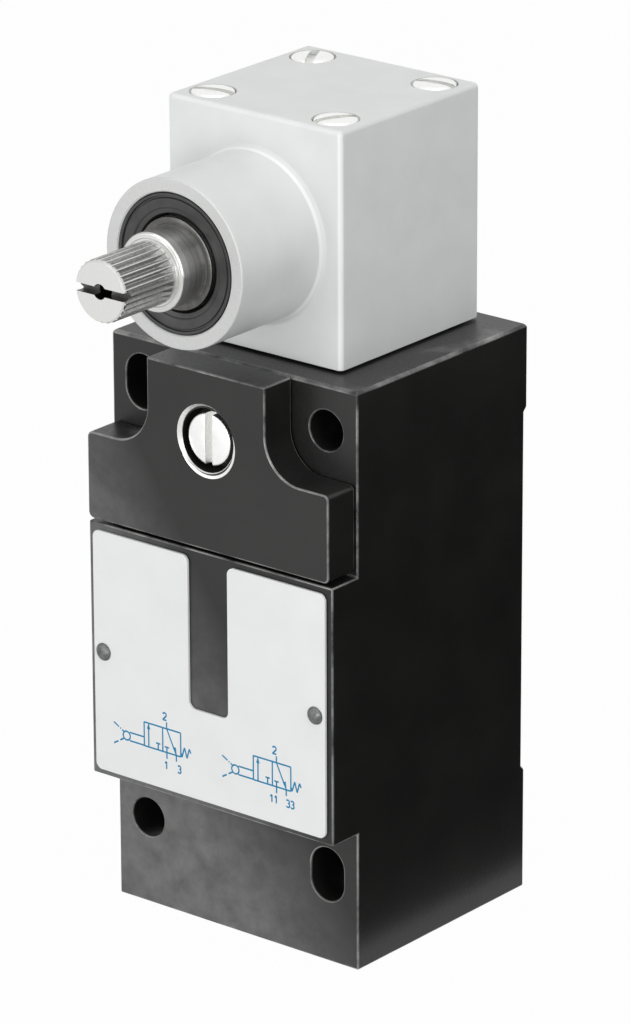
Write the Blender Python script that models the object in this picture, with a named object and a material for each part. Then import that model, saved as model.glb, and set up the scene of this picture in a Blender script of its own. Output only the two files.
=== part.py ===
"""Pneumatic limit valve with a rotary head, built as it would be assembled on a bench.

A black body holds a 3/2-way spool valve, with its three ports in the underside. A square grey head on top
carries the lever shaft in two bushes behind a lip seal. Inside the head, the shaft turns a cam through a
drive pin, and the cam pushes a plunger and the spool down.

+Z is up and -Y is the front, where the shaft comes out. The origin is the centre of the body's underside.
"""

import math

import bmesh
import bpy
from mathutils import Matrix, Vector
from mathutils.geometry import convex_hull_2d

MM = 0.001
SAME_PLACE = 0.0001 * MM

# Clearances
SEAT_GAP = 0.2 * MM
FACE_GAP = 0.1 * MM
RUNNING_GAP = 0.1 * MM
CONTACT_GAP = 0.3 * MM
CUT_REACH = 1.0 * MM

# Body block
BODY_WIDTH = 40.0 * MM
BODY_DEPTH = 34.7 * MM
BODY_HEIGHT = 78.0 * MM
BODY_EDGE = 0.3 * MM
REAR_PAD_PROUD = 0.6 * MM
LOWER_PAD_HEIGHT = 16.6 * MM
UPPER_PAD_HEIGHT = 11.2 * MM

# Mounting holes: two round ones and two slots on the opposite diagonal
HOLE_DIAMETER = 5.3 * MM
SLOT_LENGTH = 7.3 * MM
HOLE_CHAMFER = 0.35 * MM
HOLE_FROM_SIDE = 5.0 * MM
LOWER_HOLE_RISE = 12.0 * MM
UPPER_HOLE_DROP = 6.0 * MM

# Slotted screws, as shares of the head's or the shank's size
SCREW_SLOT_WIDTH = 1.15 * MM
SCREW_SLOT_DEPTH_SHARE = 0.45
SCREW_SLOT_REACH = 1.3
SCREW_CROWN_SHARE = 0.16
SCREW_CROWN_ROUND = 0.3
SCREW_POINT_SHARE = 0.4

# Raised block on the front that carries the plate
BLOCK_PROUD = 5.0 * MM
BLOCK_BOTTOM = 18.8 * MM
BLOCK_TO_COVER = 0.6 * MM

# Front cover
COVER_THICKNESS = 5.25 * MM
COVER_SIDE_STEP = 0.3 * MM
COVER_HEIGHT = 23.8 * MM
SHOULDER_HEIGHT = 11.7 * MM
CUTOUT_RADIUS = 5.5 * MM
COVER_CORNER = 0.8 * MM
COVER_SCREW_DROP = 9.2 * MM
COVER_SCREW_DIAMETER = 4.0 * MM
COVER_SCREW_HEAD_DIAMETER = 6.9 * MM
COVER_SCREW_HEAD_HEIGHT = 2.6 * MM
COVER_SCREW_SUNK = 0.55 * MM
COVER_SCREW_GRIP = 6.0 * MM
COUNTERBORE_DIAMETER = 8.4 * MM
COUNTERBORE_CHAMFER = 0.5 * MM
GASKET_THICKNESS = 0.6 * MM
COVER_GASKET_MARGIN = 1.0 * MM

# Plate and its rivets
PLATE_THICKNESS = 0.35 * MM
PLATE_MARGIN = 0.9 * MM
PLATE_CORNER = 1.0 * MM
PLATE_NOTCH_WIDTH = 6.5 * MM
PLATE_NOTCH_DEPTH = 20.7 * MM
RIVET_HEAD_DIAMETER = 2.4 * MM
RIVET_HEAD_HEIGHT = 0.4 * MM
RIVET_CROWN_SHARE = 0.55
RIVET_CROWN_SLOPE = 0.12
RIVET_SHOULDER_SHARE = 0.88
RIVET_DIAMETER = 1.4 * MM
RIVET_LENGTH = 3.0 * MM
RIVET_FROM_SIDE = 2.5 * MM

# Ports in the underside
PORT_DIAMETER = 8.6 * MM
PORT_DEPTH = 8.0 * MM
PORT_CHAMFER = 0.5 * MM
PORT_CONE_SHARE = 0.5
FRONT_PORT_SPACING = 15.0 * MM
FRONT_PORT_SETBACK = 8.5 * MM
REAR_CHANNEL_SHIFT = 3.2 * MM
CHANNEL_DIAMETER = 2.5 * MM
CHANNEL_WALL = 2.0 * MM
CROSS_DRILLING_DIAMETER = 3.0 * MM

# Head casting
HEAD_SIDE = 28.0 * MM
HEAD_HEIGHT = 31.1 * MM
HEAD_SETBACK = 4.3 * MM
HEAD_SEAT = 0.3 * MM
HEAD_EDGE = 0.7 * MM
HEAD_TOP_EDGE = 0.65 * MM
HEAD_WALL = 3.5 * MM
CAVITY_HEIGHT = 24.4 * MM
HEAD_GASKET_MARGIN = 1.2 * MM
HEAD_GASKET_CLEARANCE = 0.3 * MM
HEAD_SCREW_INSET = 4.1 * MM
HEAD_SCREW_DIAMETER = 3.0 * MM
HEAD_SCREW_HEAD_DIAMETER = 5.5 * MM
HEAD_SCREW_HEAD_HEIGHT = 2.0 * MM
HEAD_SCREW_PROUD = 0.3 * MM
HEAD_SCREW_GRIP = 6.5 * MM
HEAD_COUNTERBORE_DIAMETER = 6.0 * MM

# Boss and shaft line
SHAFT_RISE = 15.5 * MM
BOSS_WALL = 1.85 * MM
BOSS_LENGTH = 15.45 * MM
BOSS_RIM_EDGE = 0.2 * MM
BOSS_FILLET = 1.0 * MM
BOSS_ROOT_SUNK = 0.06 * MM
BOSS_ROOT_DEPTH = 2.0 * MM
SEAL_SECTION = 3.05 * MM
SEAL_WIDTH = 5.0 * MM
SEAL_SHELL = 1.2 * MM
SEAL_FACE = 1.4 * MM
SEAL_MOUTH_GAP = 0.4 * MM
FRONT_BUSH_WALL = 1.3 * MM
FRONT_BUSH_LENGTH = 10.2 * MM
FRONT_BUSH_RECESS = 5.5 * MM
REAR_BUSH_WALL = 1.4 * MM
REAR_BUSH_LENGTH = 3.1 * MM
HEAD_REAR_WALL = 1.75 * MM
BUSH_EDGE = 0.3 * MM
JOURNAL_DIAMETER = 12.0 * MM
JOURNAL_RECESS = 0.15 * MM
SHAFT_EDGE = 0.25 * MM
COLLAR_DIAMETER = 10.2 * MM
COLLAR_LENGTH = 4.2 * MM
SERRATION_DIAMETER = 8.1 * MM
SERRATION_DEPTH = 0.38 * MM
SERRATION_LENGTH = 9.75 * MM
SERRATION_TEETH = 28
SHAFT_SLOT_WIDTH = 1.1 * MM
SHAFT_SLOT_DEPTH = 1.2 * MM
SHAFT_HOLE_DIAMETER = 2.0 * MM
SHAFT_HOLE_DEPTH = 5.0 * MM
SPINDLE_DIAMETER = 8.0 * MM
RING_WIDTH = 1.0 * MM
RING_BAND = 1.6 * MM
RING_GROOVE_DEPTH = 0.45 * MM
RING_OPENING = math.radians(50)

# Cam, drive pin and their motion
CAM_TURN = math.radians(40)
CAM_STROKE = 2.4 * MM
CAM_HUB_WALL = 2.3 * MM
CAM_NOSE_RISE = 0.9 * MM
CAM_NOSE_OVERRUN = 1.05
CAM_WIDTH = 6.0 * MM
CROWN_LENGTH = 4.85 * MM
PIN_DIAMETER = 2.5 * MM
PIN_FROM_CROWN = 2.4 * MM
RETURN_SPRING_WIRE = 0.8 * MM
RETURN_SPRING_LOOSENESS = 0.5 * MM
RETURN_SPRING_PITCH = 0.96 * MM
RETURN_SPRING_LEG = 3.6 * MM

# Plunger and its guide
PLUNGER_DISC_DIAMETER = 10.0 * MM
PLUNGER_DISC_HEIGHT = 2.2 * MM
PLUNGER_STEM_DIAMETER = 5.0 * MM
PLUNGER_EDGE = 0.4 * MM
GUIDE_FLANGE_INSET = 1.0 * MM
GUIDE_FLANGE_HEIGHT = 1.5 * MM
GUIDE_DEPTH = 10.4 * MM
GUIDE_POCKET_DEPTH = 6.0 * MM
PLUNGER_SEAL_SECTION = 1.7 * MM
PLUNGER_SEAL_HEIGHT = 2.0 * MM
PLUNGER_SPRING_WIRE = 0.8 * MM
PLUNGER_SPRING_LOOSENESS = 1.2 * MM
PLUNGER_SPRING_ROOM = 1.0 * MM
PLUNGER_SPRING_TURNS = 5

# Spool valve
VALVE_BORE_DIAMETER = 14.0 * MM
SLEEVE_BORE = 7.2 * MM
SLEEVE_DROP = 10.7 * MM
WINDOW_PITCH = 6.0 * MM
WINDOW_DIAMETER = 1.8 * MM
WINDOW_FROM_TOP = 4.5 * MM
O_RING_THICKNESS = 1.5 * MM
O_RING_GROOVE_WIDTH = 1.9 * MM
SLEEVE_TAIL = 1.8 * MM
LAND_OVERLAP = 0.4 * MM
SPOOL_NECK_DIAMETER = 4.2 * MM
SPOOL_TAIL_DIAMETER = 4.0 * MM
SPOOL_TAIL_LENGTH = 9.0 * MM
SPOOL_DROP = 1.3 * MM
SPRING_POCKET_DEPTH = 13.3 * MM
SPOOL_SPRING_WIRE = 0.7 * MM
SPOOL_SPRING_LOOSENESS = 0.4 * MM
SPOOL_SPRING_ROOM = 0.5 * MM
SPOOL_SPRING_TURNS = 7

# The pitch of a spring's end turns, in wire thicknesses
CLOSE_TURN = 1.15

# How finely round shapes are drawn
FINE = 36
MEDIUM = 24
COARSE = 16
SMALL = 10
TINY = 8
COIL_STEPS = 9

# Places that follow from the sizes above
FRONT_Y = -BODY_DEPTH / 2
REAR_Y = BODY_DEPTH / 2
BLOCK_FRONT_Y = FRONT_Y - BLOCK_PROUD
COVER_BOTTOM = BODY_HEIGHT - COVER_HEIGHT
BLOCK_TOP = COVER_BOTTOM - BLOCK_TO_COVER
COVER_BACK_Y = FRONT_Y - SEAT_GAP
COVER_FRONT_Y = COVER_BACK_Y - COVER_THICKNESS
COVER_SCREW_Z = BODY_HEIGHT - COVER_SCREW_DROP
HOLE_X = BODY_WIDTH / 2 - HOLE_FROM_SIDE
UPPER_HOLE_Z = BODY_HEIGHT - UPPER_HOLE_DROP
HEAD_Y = FRONT_Y + HEAD_SETBACK + HEAD_SIDE / 2
HEAD_FRONT_Y = HEAD_Y - HEAD_SIDE / 2
HEAD_REAR_Y = HEAD_Y + HEAD_SIDE / 2
CAVITY_RADIUS = HEAD_SIDE / 2 - HEAD_WALL
HEAD_BOTTOM = BODY_HEIGHT + HEAD_SEAT
HEAD_TOP = HEAD_BOTTOM + HEAD_HEIGHT
HEAD_SCREW_OFFSET = HEAD_SIDE / 2 - HEAD_SCREW_INSET
AXIS_Z = BODY_HEIGHT + SHAFT_RISE
BOSS_TIP_Y = HEAD_FRONT_Y - BOSS_LENGTH
JOURNAL_FRONT_Y = BOSS_TIP_Y + JOURNAL_RECESS
COLLAR_FRONT_Y = BOSS_TIP_Y - COLLAR_LENGTH
SHAFT_TIP_Y = COLLAR_FRONT_Y - SERRATION_LENGTH
FRONT_BUSH_Y = BOSS_TIP_Y + FRONT_BUSH_RECESS
FRONT_BUSH_BACK_Y = FRONT_BUSH_Y + FRONT_BUSH_LENGTH
RING_GROOVE_Y = FRONT_BUSH_BACK_Y + FACE_GAP
REAR_BUSH_BACK_Y = HEAD_REAR_Y - HEAD_REAR_WALL - SEAT_GAP
REAR_BUSH_Y = REAR_BUSH_BACK_Y - REAR_BUSH_LENGTH
SPINDLE_BACK_Y = REAR_BUSH_BACK_Y - FACE_GAP
CAM_FRONT_Y = HEAD_Y - CAM_WIDTH / 2
CAM_BACK_Y = HEAD_Y + CAM_WIDTH / 2
CROWN_FRONT_Y = CAM_FRONT_Y - CROWN_LENGTH
JOURNAL_BACK_Y = CROWN_FRONT_Y - CONTACT_GAP
PIN_Y = CROWN_FRONT_Y + PIN_FROM_CROWN
JOURNAL_RADIUS = JOURNAL_DIAMETER / 2
SPINDLE_RADIUS = SPINDLE_DIAMETER / 2
SEAL_RADIUS = JOURNAL_RADIUS + SEAL_SECTION
BOSS_RADIUS = SEAL_RADIUS + FACE_GAP + BOSS_WALL
FRONT_BUSH_RADIUS = JOURNAL_RADIUS + RUNNING_GAP + FRONT_BUSH_WALL
REAR_BUSH_RADIUS = SPINDLE_RADIUS + RUNNING_GAP + REAR_BUSH_WALL
CAM_HUB_RADIUS = SPINDLE_RADIUS + RUNNING_GAP + CAM_HUB_WALL
CAM_BASE = CAM_HUB_RADIUS + CAM_NOSE_RISE
CAM_LIFT_PER_RADIAN = CAM_STROKE / CAM_TURN
PLUNGER_TOP = AXIS_Z - CAM_BASE - CONTACT_GAP
PLUNGER_DISC_BOTTOM = PLUNGER_TOP - PLUNGER_DISC_HEIGHT
GUIDE_TOP = BODY_HEIGHT + SEAT_GAP + GUIDE_FLANGE_HEIGHT
GUIDE_BOTTOM = BODY_HEIGHT - GUIDE_DEPTH
GUIDE_POCKET_FLOOR = BODY_HEIGHT - GUIDE_POCKET_DEPTH
PLUNGER_STEM_RADIUS = PLUNGER_STEM_DIAMETER / 2
PLUNGER_SPRING_RADIUS = PLUNGER_STEM_RADIUS + PLUNGER_SPRING_LOOSENESS + PLUNGER_SPRING_WIRE / 2
GUIDE_POCKET_RADIUS = PLUNGER_SPRING_RADIUS + PLUNGER_SPRING_WIRE / 2 + PLUNGER_SPRING_ROOM
PLUNGER_SEAL_RADIUS = PLUNGER_STEM_RADIUS + PLUNGER_SEAL_SECTION
VALVE_BORE_RADIUS = VALVE_BORE_DIAMETER / 2
SLEEVE_RADIUS = VALVE_BORE_RADIUS - SEAT_GAP
SLEEVE_TOP = BODY_HEIGHT - SLEEVE_DROP
WINDOW_HEIGHTS = [SLEEVE_TOP - WINDOW_FROM_TOP - WINDOW_PITCH * step for step in range(3)]
O_RING_HEIGHTS = [WINDOW_HEIGHTS[0] + WINDOW_PITCH / 2 - WINDOW_PITCH * step for step in range(4)]
SLEEVE_BOTTOM = O_RING_HEIGHTS[-1] - SLEEVE_TAIL
VALVE_BORE_BOTTOM = SLEEVE_BOTTOM - SEAT_GAP
SPRING_POCKET_BOTTOM = VALVE_BORE_BOTTOM - SPRING_POCKET_DEPTH
SPOOL_TOP = SLEEVE_TOP - SPOOL_DROP
LOWER_LAND_BOTTOM = WINDOW_HEIGHTS[2] - WINDOW_DIAMETER / 2 - LAND_OVERLAP
SPOOL_SPRING_RADIUS = SPOOL_TAIL_DIAMETER / 2 + SPOOL_SPRING_LOOSENESS + SPOOL_SPRING_WIRE / 2
SPRING_POCKET_RADIUS = SPOOL_SPRING_RADIUS + SPOOL_SPRING_WIRE / 2 + SPOOL_SPRING_ROOM
REAR_CHANNEL_Y = HEAD_Y + VALVE_BORE_RADIUS + CHANNEL_WALL + CHANNEL_DIAMETER / 2
PORTS = {
    "supply": (0.0, REAR_CHANNEL_Y - REAR_CHANNEL_SHIFT),
    "outlet": (-FRONT_PORT_SPACING / 2, FRONT_Y + FRONT_PORT_SETBACK),
    "exhaust": (FRONT_PORT_SPACING / 2, FRONT_Y + FRONT_PORT_SETBACK),
}
HEAD_CORNERS = {
    "front_left": (-1, -1),
    "front_right": (1, -1),
    "rear_left": (-1, 1),
    "rear_right": (1, 1),
}
AXIS_ORDER = {"X": (1, 2, 0), "Y": (0, 2, 1), "Z": (0, 1, 2)}


def clear_scene():
    for old in list(bpy.data.objects):
        bpy.data.objects.remove(old, do_unlink=True)


def make_material(name, colour, roughness, metallic=0.0):
    material = bpy.data.materials.new(name)
    material.use_nodes = True
    shader = material.node_tree.nodes["Principled BSDF"]
    shader.inputs["Base Color"].default_value = (*colour, 1.0)
    shader.inputs["Roughness"].default_value = roughness
    shader.inputs["Metallic"].default_value = metallic
    return material


# Shapes


def along(axis, first, second, distance):
    """A point with two coordinates in the plane across an axis, and one along it."""
    point = [0.0, 0.0, 0.0]
    for index, value in zip(AXIS_ORDER[axis], (first, second, distance)):
        point[index] = value
    return Vector(point)


def circle(radius, centre=(0.0, 0.0), count=MEDIUM):
    """The points of a circle, starting half a step off its axis so that flats face the axes."""
    half_step = 180 / count
    return arc(centre, radius, half_step, 360 + half_step, count)[:-1]


def arc(centre, radius, start, end, count):
    """Points from one angle to another, in degrees."""
    return [
        (
            centre[0] + radius * math.cos(math.radians(start + (end - start) * i / count)),
            centre[1] + radius * math.sin(math.radians(start + (end - start) * i / count)),
        )
        for i in range(count + 1)
    ]


def rounded_rectangle(left, right, bottom, top, radius, count=4):
    right_top = (right - radius, top - radius)
    left_top = (left + radius, top - radius)
    left_bottom = (left + radius, bottom + radius)
    right_bottom = (right - radius, bottom + radius)
    points = []
    for quarter, centre in enumerate((right_top, left_top, left_bottom, right_bottom)):
        points += arc(centre, radius, 90 * quarter, 90 * quarter + 90, count)
    return points


def slot_outline(width, length, centre, count=8):
    """An upright slot with round ends; a length equal to the width gives a round hole."""
    radius = width / 2
    rise = (length - width) / 2
    upper = arc((centre[0], centre[1] + rise), radius, 0, 180, count)
    lower = arc((centre[0], centre[1] - rise), radius, 180, 360, count)
    if rise == 0:
        return upper[:-1] + lower[:-1]
    return upper + lower


def prism(outline, start, end, axis):
    """An outline drawn across an axis and extruded along it."""
    mesh = bmesh.new()
    corners = [mesh.verts.new(along(axis, first, second, start)) for first, second in outline]
    face = mesh.faces.new(corners)
    grown = bmesh.ops.extrude_face_region(mesh, geom=[face])
    moved = [item for item in grown["geom"] if isinstance(item, bmesh.types.BMVert)]
    bmesh.ops.translate(mesh, verts=moved, vec=along(axis, 0.0, 0.0, end - start))
    bmesh.ops.recalc_face_normals(mesh, faces=mesh.faces)
    return mesh


def flat_end_centres(mesh, axis):
    """Vertices on the axis in the middle of a flat end, whose fan of triangles can become one face."""
    lengthwise = along(axis, 0.0, 0.0, 1.0)
    centres = []
    for vertex in mesh.verts:
        off_axis = vertex.co - lengthwise * vertex.co.dot(lengthwise)
        rims = [edge.other_vert(vertex).co for edge in vertex.link_edges]
        flat = all(abs((rim - vertex.co).dot(lengthwise)) < SAME_PLACE for rim in rims)
        if off_axis.length < SAME_PLACE and flat:
            centres.append(vertex)
    return centres


def turned(profile, axis, centre=(0.0, 0.0), count=MEDIUM):
    """A closed profile of (radius, place along the axis) points, spun round the axis."""
    mesh = bmesh.new()
    points = [mesh.verts.new(along(axis, radius, 0.0, level)) for radius, level in profile]
    edges = []
    for i, (radius, _) in enumerate(profile):
        following = (i + 1) % len(profile)
        if radius > 0 or profile[following][0] > 0:
            edges.append(mesh.edges.new((points[i], points[following])))
    bmesh.ops.spin(
        mesh,
        geom=points + edges,
        cent=(0, 0, 0),
        axis=along(axis, 0.0, 0.0, 1.0),
        angle=2 * math.pi,
        steps=count,
        use_merge=True,
    )
    bmesh.ops.remove_doubles(mesh, verts=mesh.verts, dist=SAME_PLACE)
    bmesh.ops.dissolve_verts(mesh, verts=flat_end_centres(mesh, axis))
    bmesh.ops.recalc_face_normals(mesh, faces=mesh.faces)
    half_step = Matrix.Rotation(math.pi / count, 3, axis)
    bmesh.ops.rotate(mesh, verts=mesh.verts, cent=(0, 0, 0), matrix=half_step)
    bmesh.ops.translate(mesh, verts=mesh.verts, vec=along(axis, centre[0], centre[1], 0.0))
    return mesh


def rod(radius, start, end, axis, centre=(0.0, 0.0), count=MEDIUM):
    return prism(circle(radius, centre, count), start, end, axis)


def drilling(radius, start, end, count=SMALL):
    """A straight round cutter between any two points."""
    direction = end - start
    mesh = prism(circle(radius, count=count), 0.0, direction.length, "Z")
    turn = Vector((0, 0, 1)).rotation_difference(direction).to_matrix()
    bmesh.ops.rotate(mesh, verts=mesh.verts, cent=(0, 0, 0), matrix=turn)
    bmesh.ops.translate(mesh, verts=mesh.verts, vec=start)
    return mesh


def flared(outline, wide_outline, levels, axis):
    """A cutter whose two ends open out into chamfers: wide, narrow, narrow, wide."""
    mesh = bmesh.new()
    rings = []
    for points, level in zip((wide_outline, outline, outline, wide_outline), levels):
        rings.append([mesh.verts.new(along(axis, first, second, level)) for first, second in points])
    for low, high in zip(rings, rings[1:]):
        for i in range(len(low)):
            j = (i + 1) % len(low)
            mesh.faces.new((low[i], low[j], high[j], high[i]))
    mesh.faces.new(rings[0])
    mesh.faces.new(rings[-1])
    bmesh.ops.recalc_face_normals(mesh, faces=mesh.faces)
    return mesh


# Objects


def place(name, mesh, material, location=(0.0, 0.0, 0.0), parent=None):
    """Turns a finished mesh into a named object; points stay where they were drawn in the world."""
    bmesh.ops.translate(mesh, verts=mesh.verts, vec=-Vector(location))
    data = bpy.data.meshes.new(name)
    mesh.to_mesh(data)
    mesh.free()
    data.shade_smooth()
    data.set_sharp_from_angle(angle=math.radians(30))
    data.materials.append(material)
    obj = bpy.data.objects.new(name, data)
    bpy.context.scene.collection.objects.link(obj)
    obj.location = location
    hang(obj, parent)
    return obj


def hang(obj, parent):
    """Gives an object a parent without moving it."""
    if parent is not None:
        obj.parent = parent
        obj.matrix_parent_inverse = Matrix.Translation(-parent.location)


def shape_with(target, mesh, operation, name):
    """Cuts a mesh from an object or joins it on, as a live Boolean with a hidden helper."""
    data = bpy.data.meshes.new(name)
    mesh.to_mesh(data)
    mesh.free()
    helper = bpy.data.objects.new(f"{target.name}_{name}", data)
    bpy.context.scene.collection.objects.link(helper)
    helper.hide_render = True
    helper.display_type = "WIRE"
    hang(helper, target.parent)
    step = target.modifiers.new(name, "BOOLEAN")
    step.operation = operation
    step.object = helper


def cut(target, mesh, name):
    shape_with(target, mesh, "DIFFERENCE", name)


def join(target, mesh, name):
    shape_with(target, mesh, "UNION", name)


def soften(obj, width, segments=1, angle=40):
    bevel = obj.modifiers.new("edges", "BEVEL")
    bevel.width = width
    bevel.segments = segments
    bevel.limit_method = "ANGLE"
    bevel.angle_limit = math.radians(angle)
    bevel.use_clamp_overlap = True
    return bevel


def coil(name, path, wire_radius, material):
    """A round wire along a path of points, closed at both ends."""
    curve = bpy.data.curves.new(name, "CURVE")
    curve.dimensions = "3D"
    curve.bevel_depth = wire_radius
    curve.bevel_resolution = 1
    curve.use_fill_caps = True
    spline = curve.splines.new("POLY")
    spline.points.add(len(path) - 1)
    for point, position in zip(spline.points, path):
        point.co = (*position, 1.0)
    curve.materials.append(material)
    obj = bpy.data.objects.new(name, curve)
    bpy.context.scene.collection.objects.link(obj)
    return obj


def compression_path(radius, wire, bottom, top, turns):
    """The centre line of a spring in the valve bore, with close end turns and the others spread evenly."""
    low = bottom + wire / 2
    high = top - wire / 2
    close = wire * CLOSE_TURN
    spread = (high - low - 2 * close) / (turns - 2)
    points = []
    for i in range(turns * COIL_STEPS + 1):
        turn = i / COIL_STEPS
        angle = 2 * math.pi * turn
        end_turns = min(turn, 1) + max(0, turn - turns + 1)
        middle_turns = max(0, min(turn - 1, turns - 2))
        height = low + end_turns * close + middle_turns * spread
        points.append((radius * math.cos(angle), HEAD_Y + radius * math.sin(angle), height))
    return points


def slotted_screw(name, axis, centre, face, inward, head, shank, slot_angle, count, material):
    """A cheese-head screw; face is where its head ends, and inward is the sign of its way in."""
    head_radius, head_height = head
    shank_radius, shank_length = shank
    crown = head_radius * SCREW_CROWN_SHARE
    shoulder = crown * SCREW_CROWN_ROUND
    under = face + inward * head_height
    tip = under + inward * shank_length
    point = shank_radius * SCREW_POINT_SHARE
    profile = [
        (0.0, face),
        (head_radius - crown, face),
        (head_radius - shoulder, face + inward * shoulder),
        (head_radius, face + inward * crown),
        (head_radius, under),
        (shank_radius, under),
        (shank_radius, tip - inward * point),
        (shank_radius - point, tip),
        (0.0, tip),
    ]
    screw = place(name, turned(profile, axis, centre, count), material)
    outline = bar_outline(centre, head_radius * SCREW_SLOT_REACH, SCREW_SLOT_WIDTH / 2, slot_angle)
    floor = face + inward * head_height * SCREW_SLOT_DEPTH_SHARE
    cut(screw, prism(outline, floor, face - inward * CUT_REACH, axis), "driver_slot")
    return screw


def bar_outline(centre, half_length, half_width, angle=0.0):
    """A long rectangle turned about its middle by an angle in degrees."""
    turn = math.radians(angle)
    corners = [(-half_length, -half_width), (half_length, -half_width)]
    corners += [(half_length, half_width), (-half_length, half_width)]
    return [
        (
            centre[0] + x * math.cos(turn) - z * math.sin(turn),
            centre[1] + x * math.sin(turn) + z * math.cos(turn),
        )
        for x, z in corners
    ]


# Body


def hole_centres():
    """Each mounting hole as (name, x, z, length): round ones are as long as they are wide."""
    return [
        ("upper_right", HOLE_X, UPPER_HOLE_Z, HOLE_DIAMETER),
        ("lower_left", -HOLE_X, LOWER_HOLE_RISE, HOLE_DIAMETER),
        ("upper_left", -HOLE_X, UPPER_HOLE_Z, SLOT_LENGTH),
        ("lower_right", HOLE_X, LOWER_HOLE_RISE, SLOT_LENGTH),
    ]


def body_profile():
    """The side view of the body as (y, z) points: rear pads, a flat front and the raised plate block."""
    recess_y = REAR_Y - REAR_PAD_PROUD
    upper_pad = BODY_HEIGHT - UPPER_PAD_HEIGHT
    return [
        (FRONT_Y, 0.0),
        (REAR_Y, 0.0),
        (REAR_Y, LOWER_PAD_HEIGHT),
        (recess_y, LOWER_PAD_HEIGHT + REAR_PAD_PROUD),
        (recess_y, upper_pad - REAR_PAD_PROUD),
        (REAR_Y, upper_pad),
        (REAR_Y, BODY_HEIGHT),
        (FRONT_Y, BODY_HEIGHT),
        (FRONT_Y, BLOCK_TOP),
        (BLOCK_FRONT_Y, BLOCK_TOP),
        (BLOCK_FRONT_Y, BLOCK_BOTTOM),
        (FRONT_Y, BLOCK_BOTTOM),
    ]


def cut_mounting_holes(body):
    flare = 2 * (HOLE_CHAMFER + CUT_REACH)
    levels = (FRONT_Y - CUT_REACH, FRONT_Y + HOLE_CHAMFER, REAR_Y - HOLE_CHAMFER, REAR_Y + CUT_REACH)
    for name, x, z, length in hole_centres():
        outline = slot_outline(HOLE_DIAMETER, length, (x, z))
        wide = slot_outline(HOLE_DIAMETER + flare, length + flare, (x, z))
        cut(body, flared(outline, wide, levels, "Y"), f"mounting_{name}")


def cut_ports(body):
    radius = PORT_DIAMETER / 2
    cone = PORT_DEPTH + radius * PORT_CONE_SHARE
    for name, (x, y) in PORTS.items():
        profile = [
            (0.0, cone),
            (radius, PORT_DEPTH),
            (radius, PORT_CHAMFER),
            (radius + 2 * PORT_CHAMFER, -PORT_CHAMFER),
            (0.0, -PORT_CHAMFER),
        ]
        cut(body, turned(profile, "Z", (x, y), COARSE), f"port_{name}")


def cut_channels(body):
    """Each port's way up to its window in the sleeve; the two front ones are drilled from under the cover."""
    radius = CHANNEL_DIAMETER / 2
    cross = CROSS_DRILLING_DIAMETER / 2
    inside = VALVE_BORE_RADIUS - CUT_REACH
    low, middle, high = sorted(WINDOW_HEIGHTS)
    foot = Vector((0.0, REAR_CHANNEL_Y, PORT_DEPTH / 2))
    elbow = Vector((0.0, REAR_CHANNEL_Y, low))
    cut(body, drilling(radius, foot, elbow), "channel_supply")
    cross_start = Vector((0.0, HEAD_Y + inside, low))
    cut(body, drilling(cross, cross_start, elbow + Vector((0.0, cross, 0.0))), "cross_supply")
    for name, level in (("outlet", middle), ("exhaust", high)):
        x, y = PORTS[name]
        foot = Vector((x, y, PORT_DEPTH / 2))
        elbow = Vector((x, y, level))
        cut(body, drilling(radius, foot, elbow), f"channel_{name}")
        inward = Vector((-x, HEAD_Y - y, 0.0)).normalized()
        front_length = (y - FRONT_Y + 2 * CUT_REACH) / inward.y
        bore_end = Vector((0.0, HEAD_Y, level)) - inward * inside
        cut(body, drilling(cross, elbow - inward * front_length, bore_end), f"cross_{name}")


def cut_valve_bore(body):
    profile = [
        (0.0, BODY_HEIGHT + CUT_REACH),
        (VALVE_BORE_RADIUS, BODY_HEIGHT + CUT_REACH),
        (VALVE_BORE_RADIUS, VALVE_BORE_BOTTOM),
        (SPRING_POCKET_RADIUS, VALVE_BORE_BOTTOM),
        (SPRING_POCKET_RADIUS, SPRING_POCKET_BOTTOM),
        (0.0, SPRING_POCKET_BOTTOM),
    ]
    cut(body, turned(profile, "Z", (0.0, HEAD_Y)), "valve_bore")


def head_screw_centre(corner):
    side, back = HEAD_CORNERS[corner]
    return (side * HEAD_SCREW_OFFSET, HEAD_Y + back * HEAD_SCREW_OFFSET)


def cut_screw_holes(body):
    radius = HEAD_SCREW_DIAMETER / 2 + RUNNING_GAP
    bottom = BODY_HEIGHT - HEAD_SCREW_GRIP - CUT_REACH
    for corner in HEAD_CORNERS:
        hole = rod(radius, bottom, BODY_HEIGHT + CUT_REACH, "Z", head_screw_centre(corner), SMALL)
        cut(body, hole, f"head_thread_{corner}")
    radius = COVER_SCREW_DIAMETER / 2 + RUNNING_GAP
    back = FRONT_Y + COVER_SCREW_GRIP + CUT_REACH
    cut(body, rod(radius, FRONT_Y - CUT_REACH, back, "Y", (0.0, COVER_SCREW_Z)), "cover_thread")
    radius = RIVET_DIAMETER / 2 + RUNNING_GAP
    for side in (-1, 1):
        centre = (side * rivet_x(), plate_middle())
        hole = rod(radius, BLOCK_FRONT_Y - CUT_REACH, BLOCK_FRONT_Y + RIVET_LENGTH, "Y", centre, SMALL)
        cut(body, hole, "rivet_hole")


def make_valve_body(material):
    body = place("valve_body", prism(body_profile(), -BODY_WIDTH / 2, BODY_WIDTH / 2, "X"), material)
    soften(body, BODY_EDGE)
    cut_mounting_holes(body)
    cut_valve_bore(body)
    cut_ports(body)
    cut_channels(body)
    cut_screw_holes(body)
    return body


# Front cover


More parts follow.
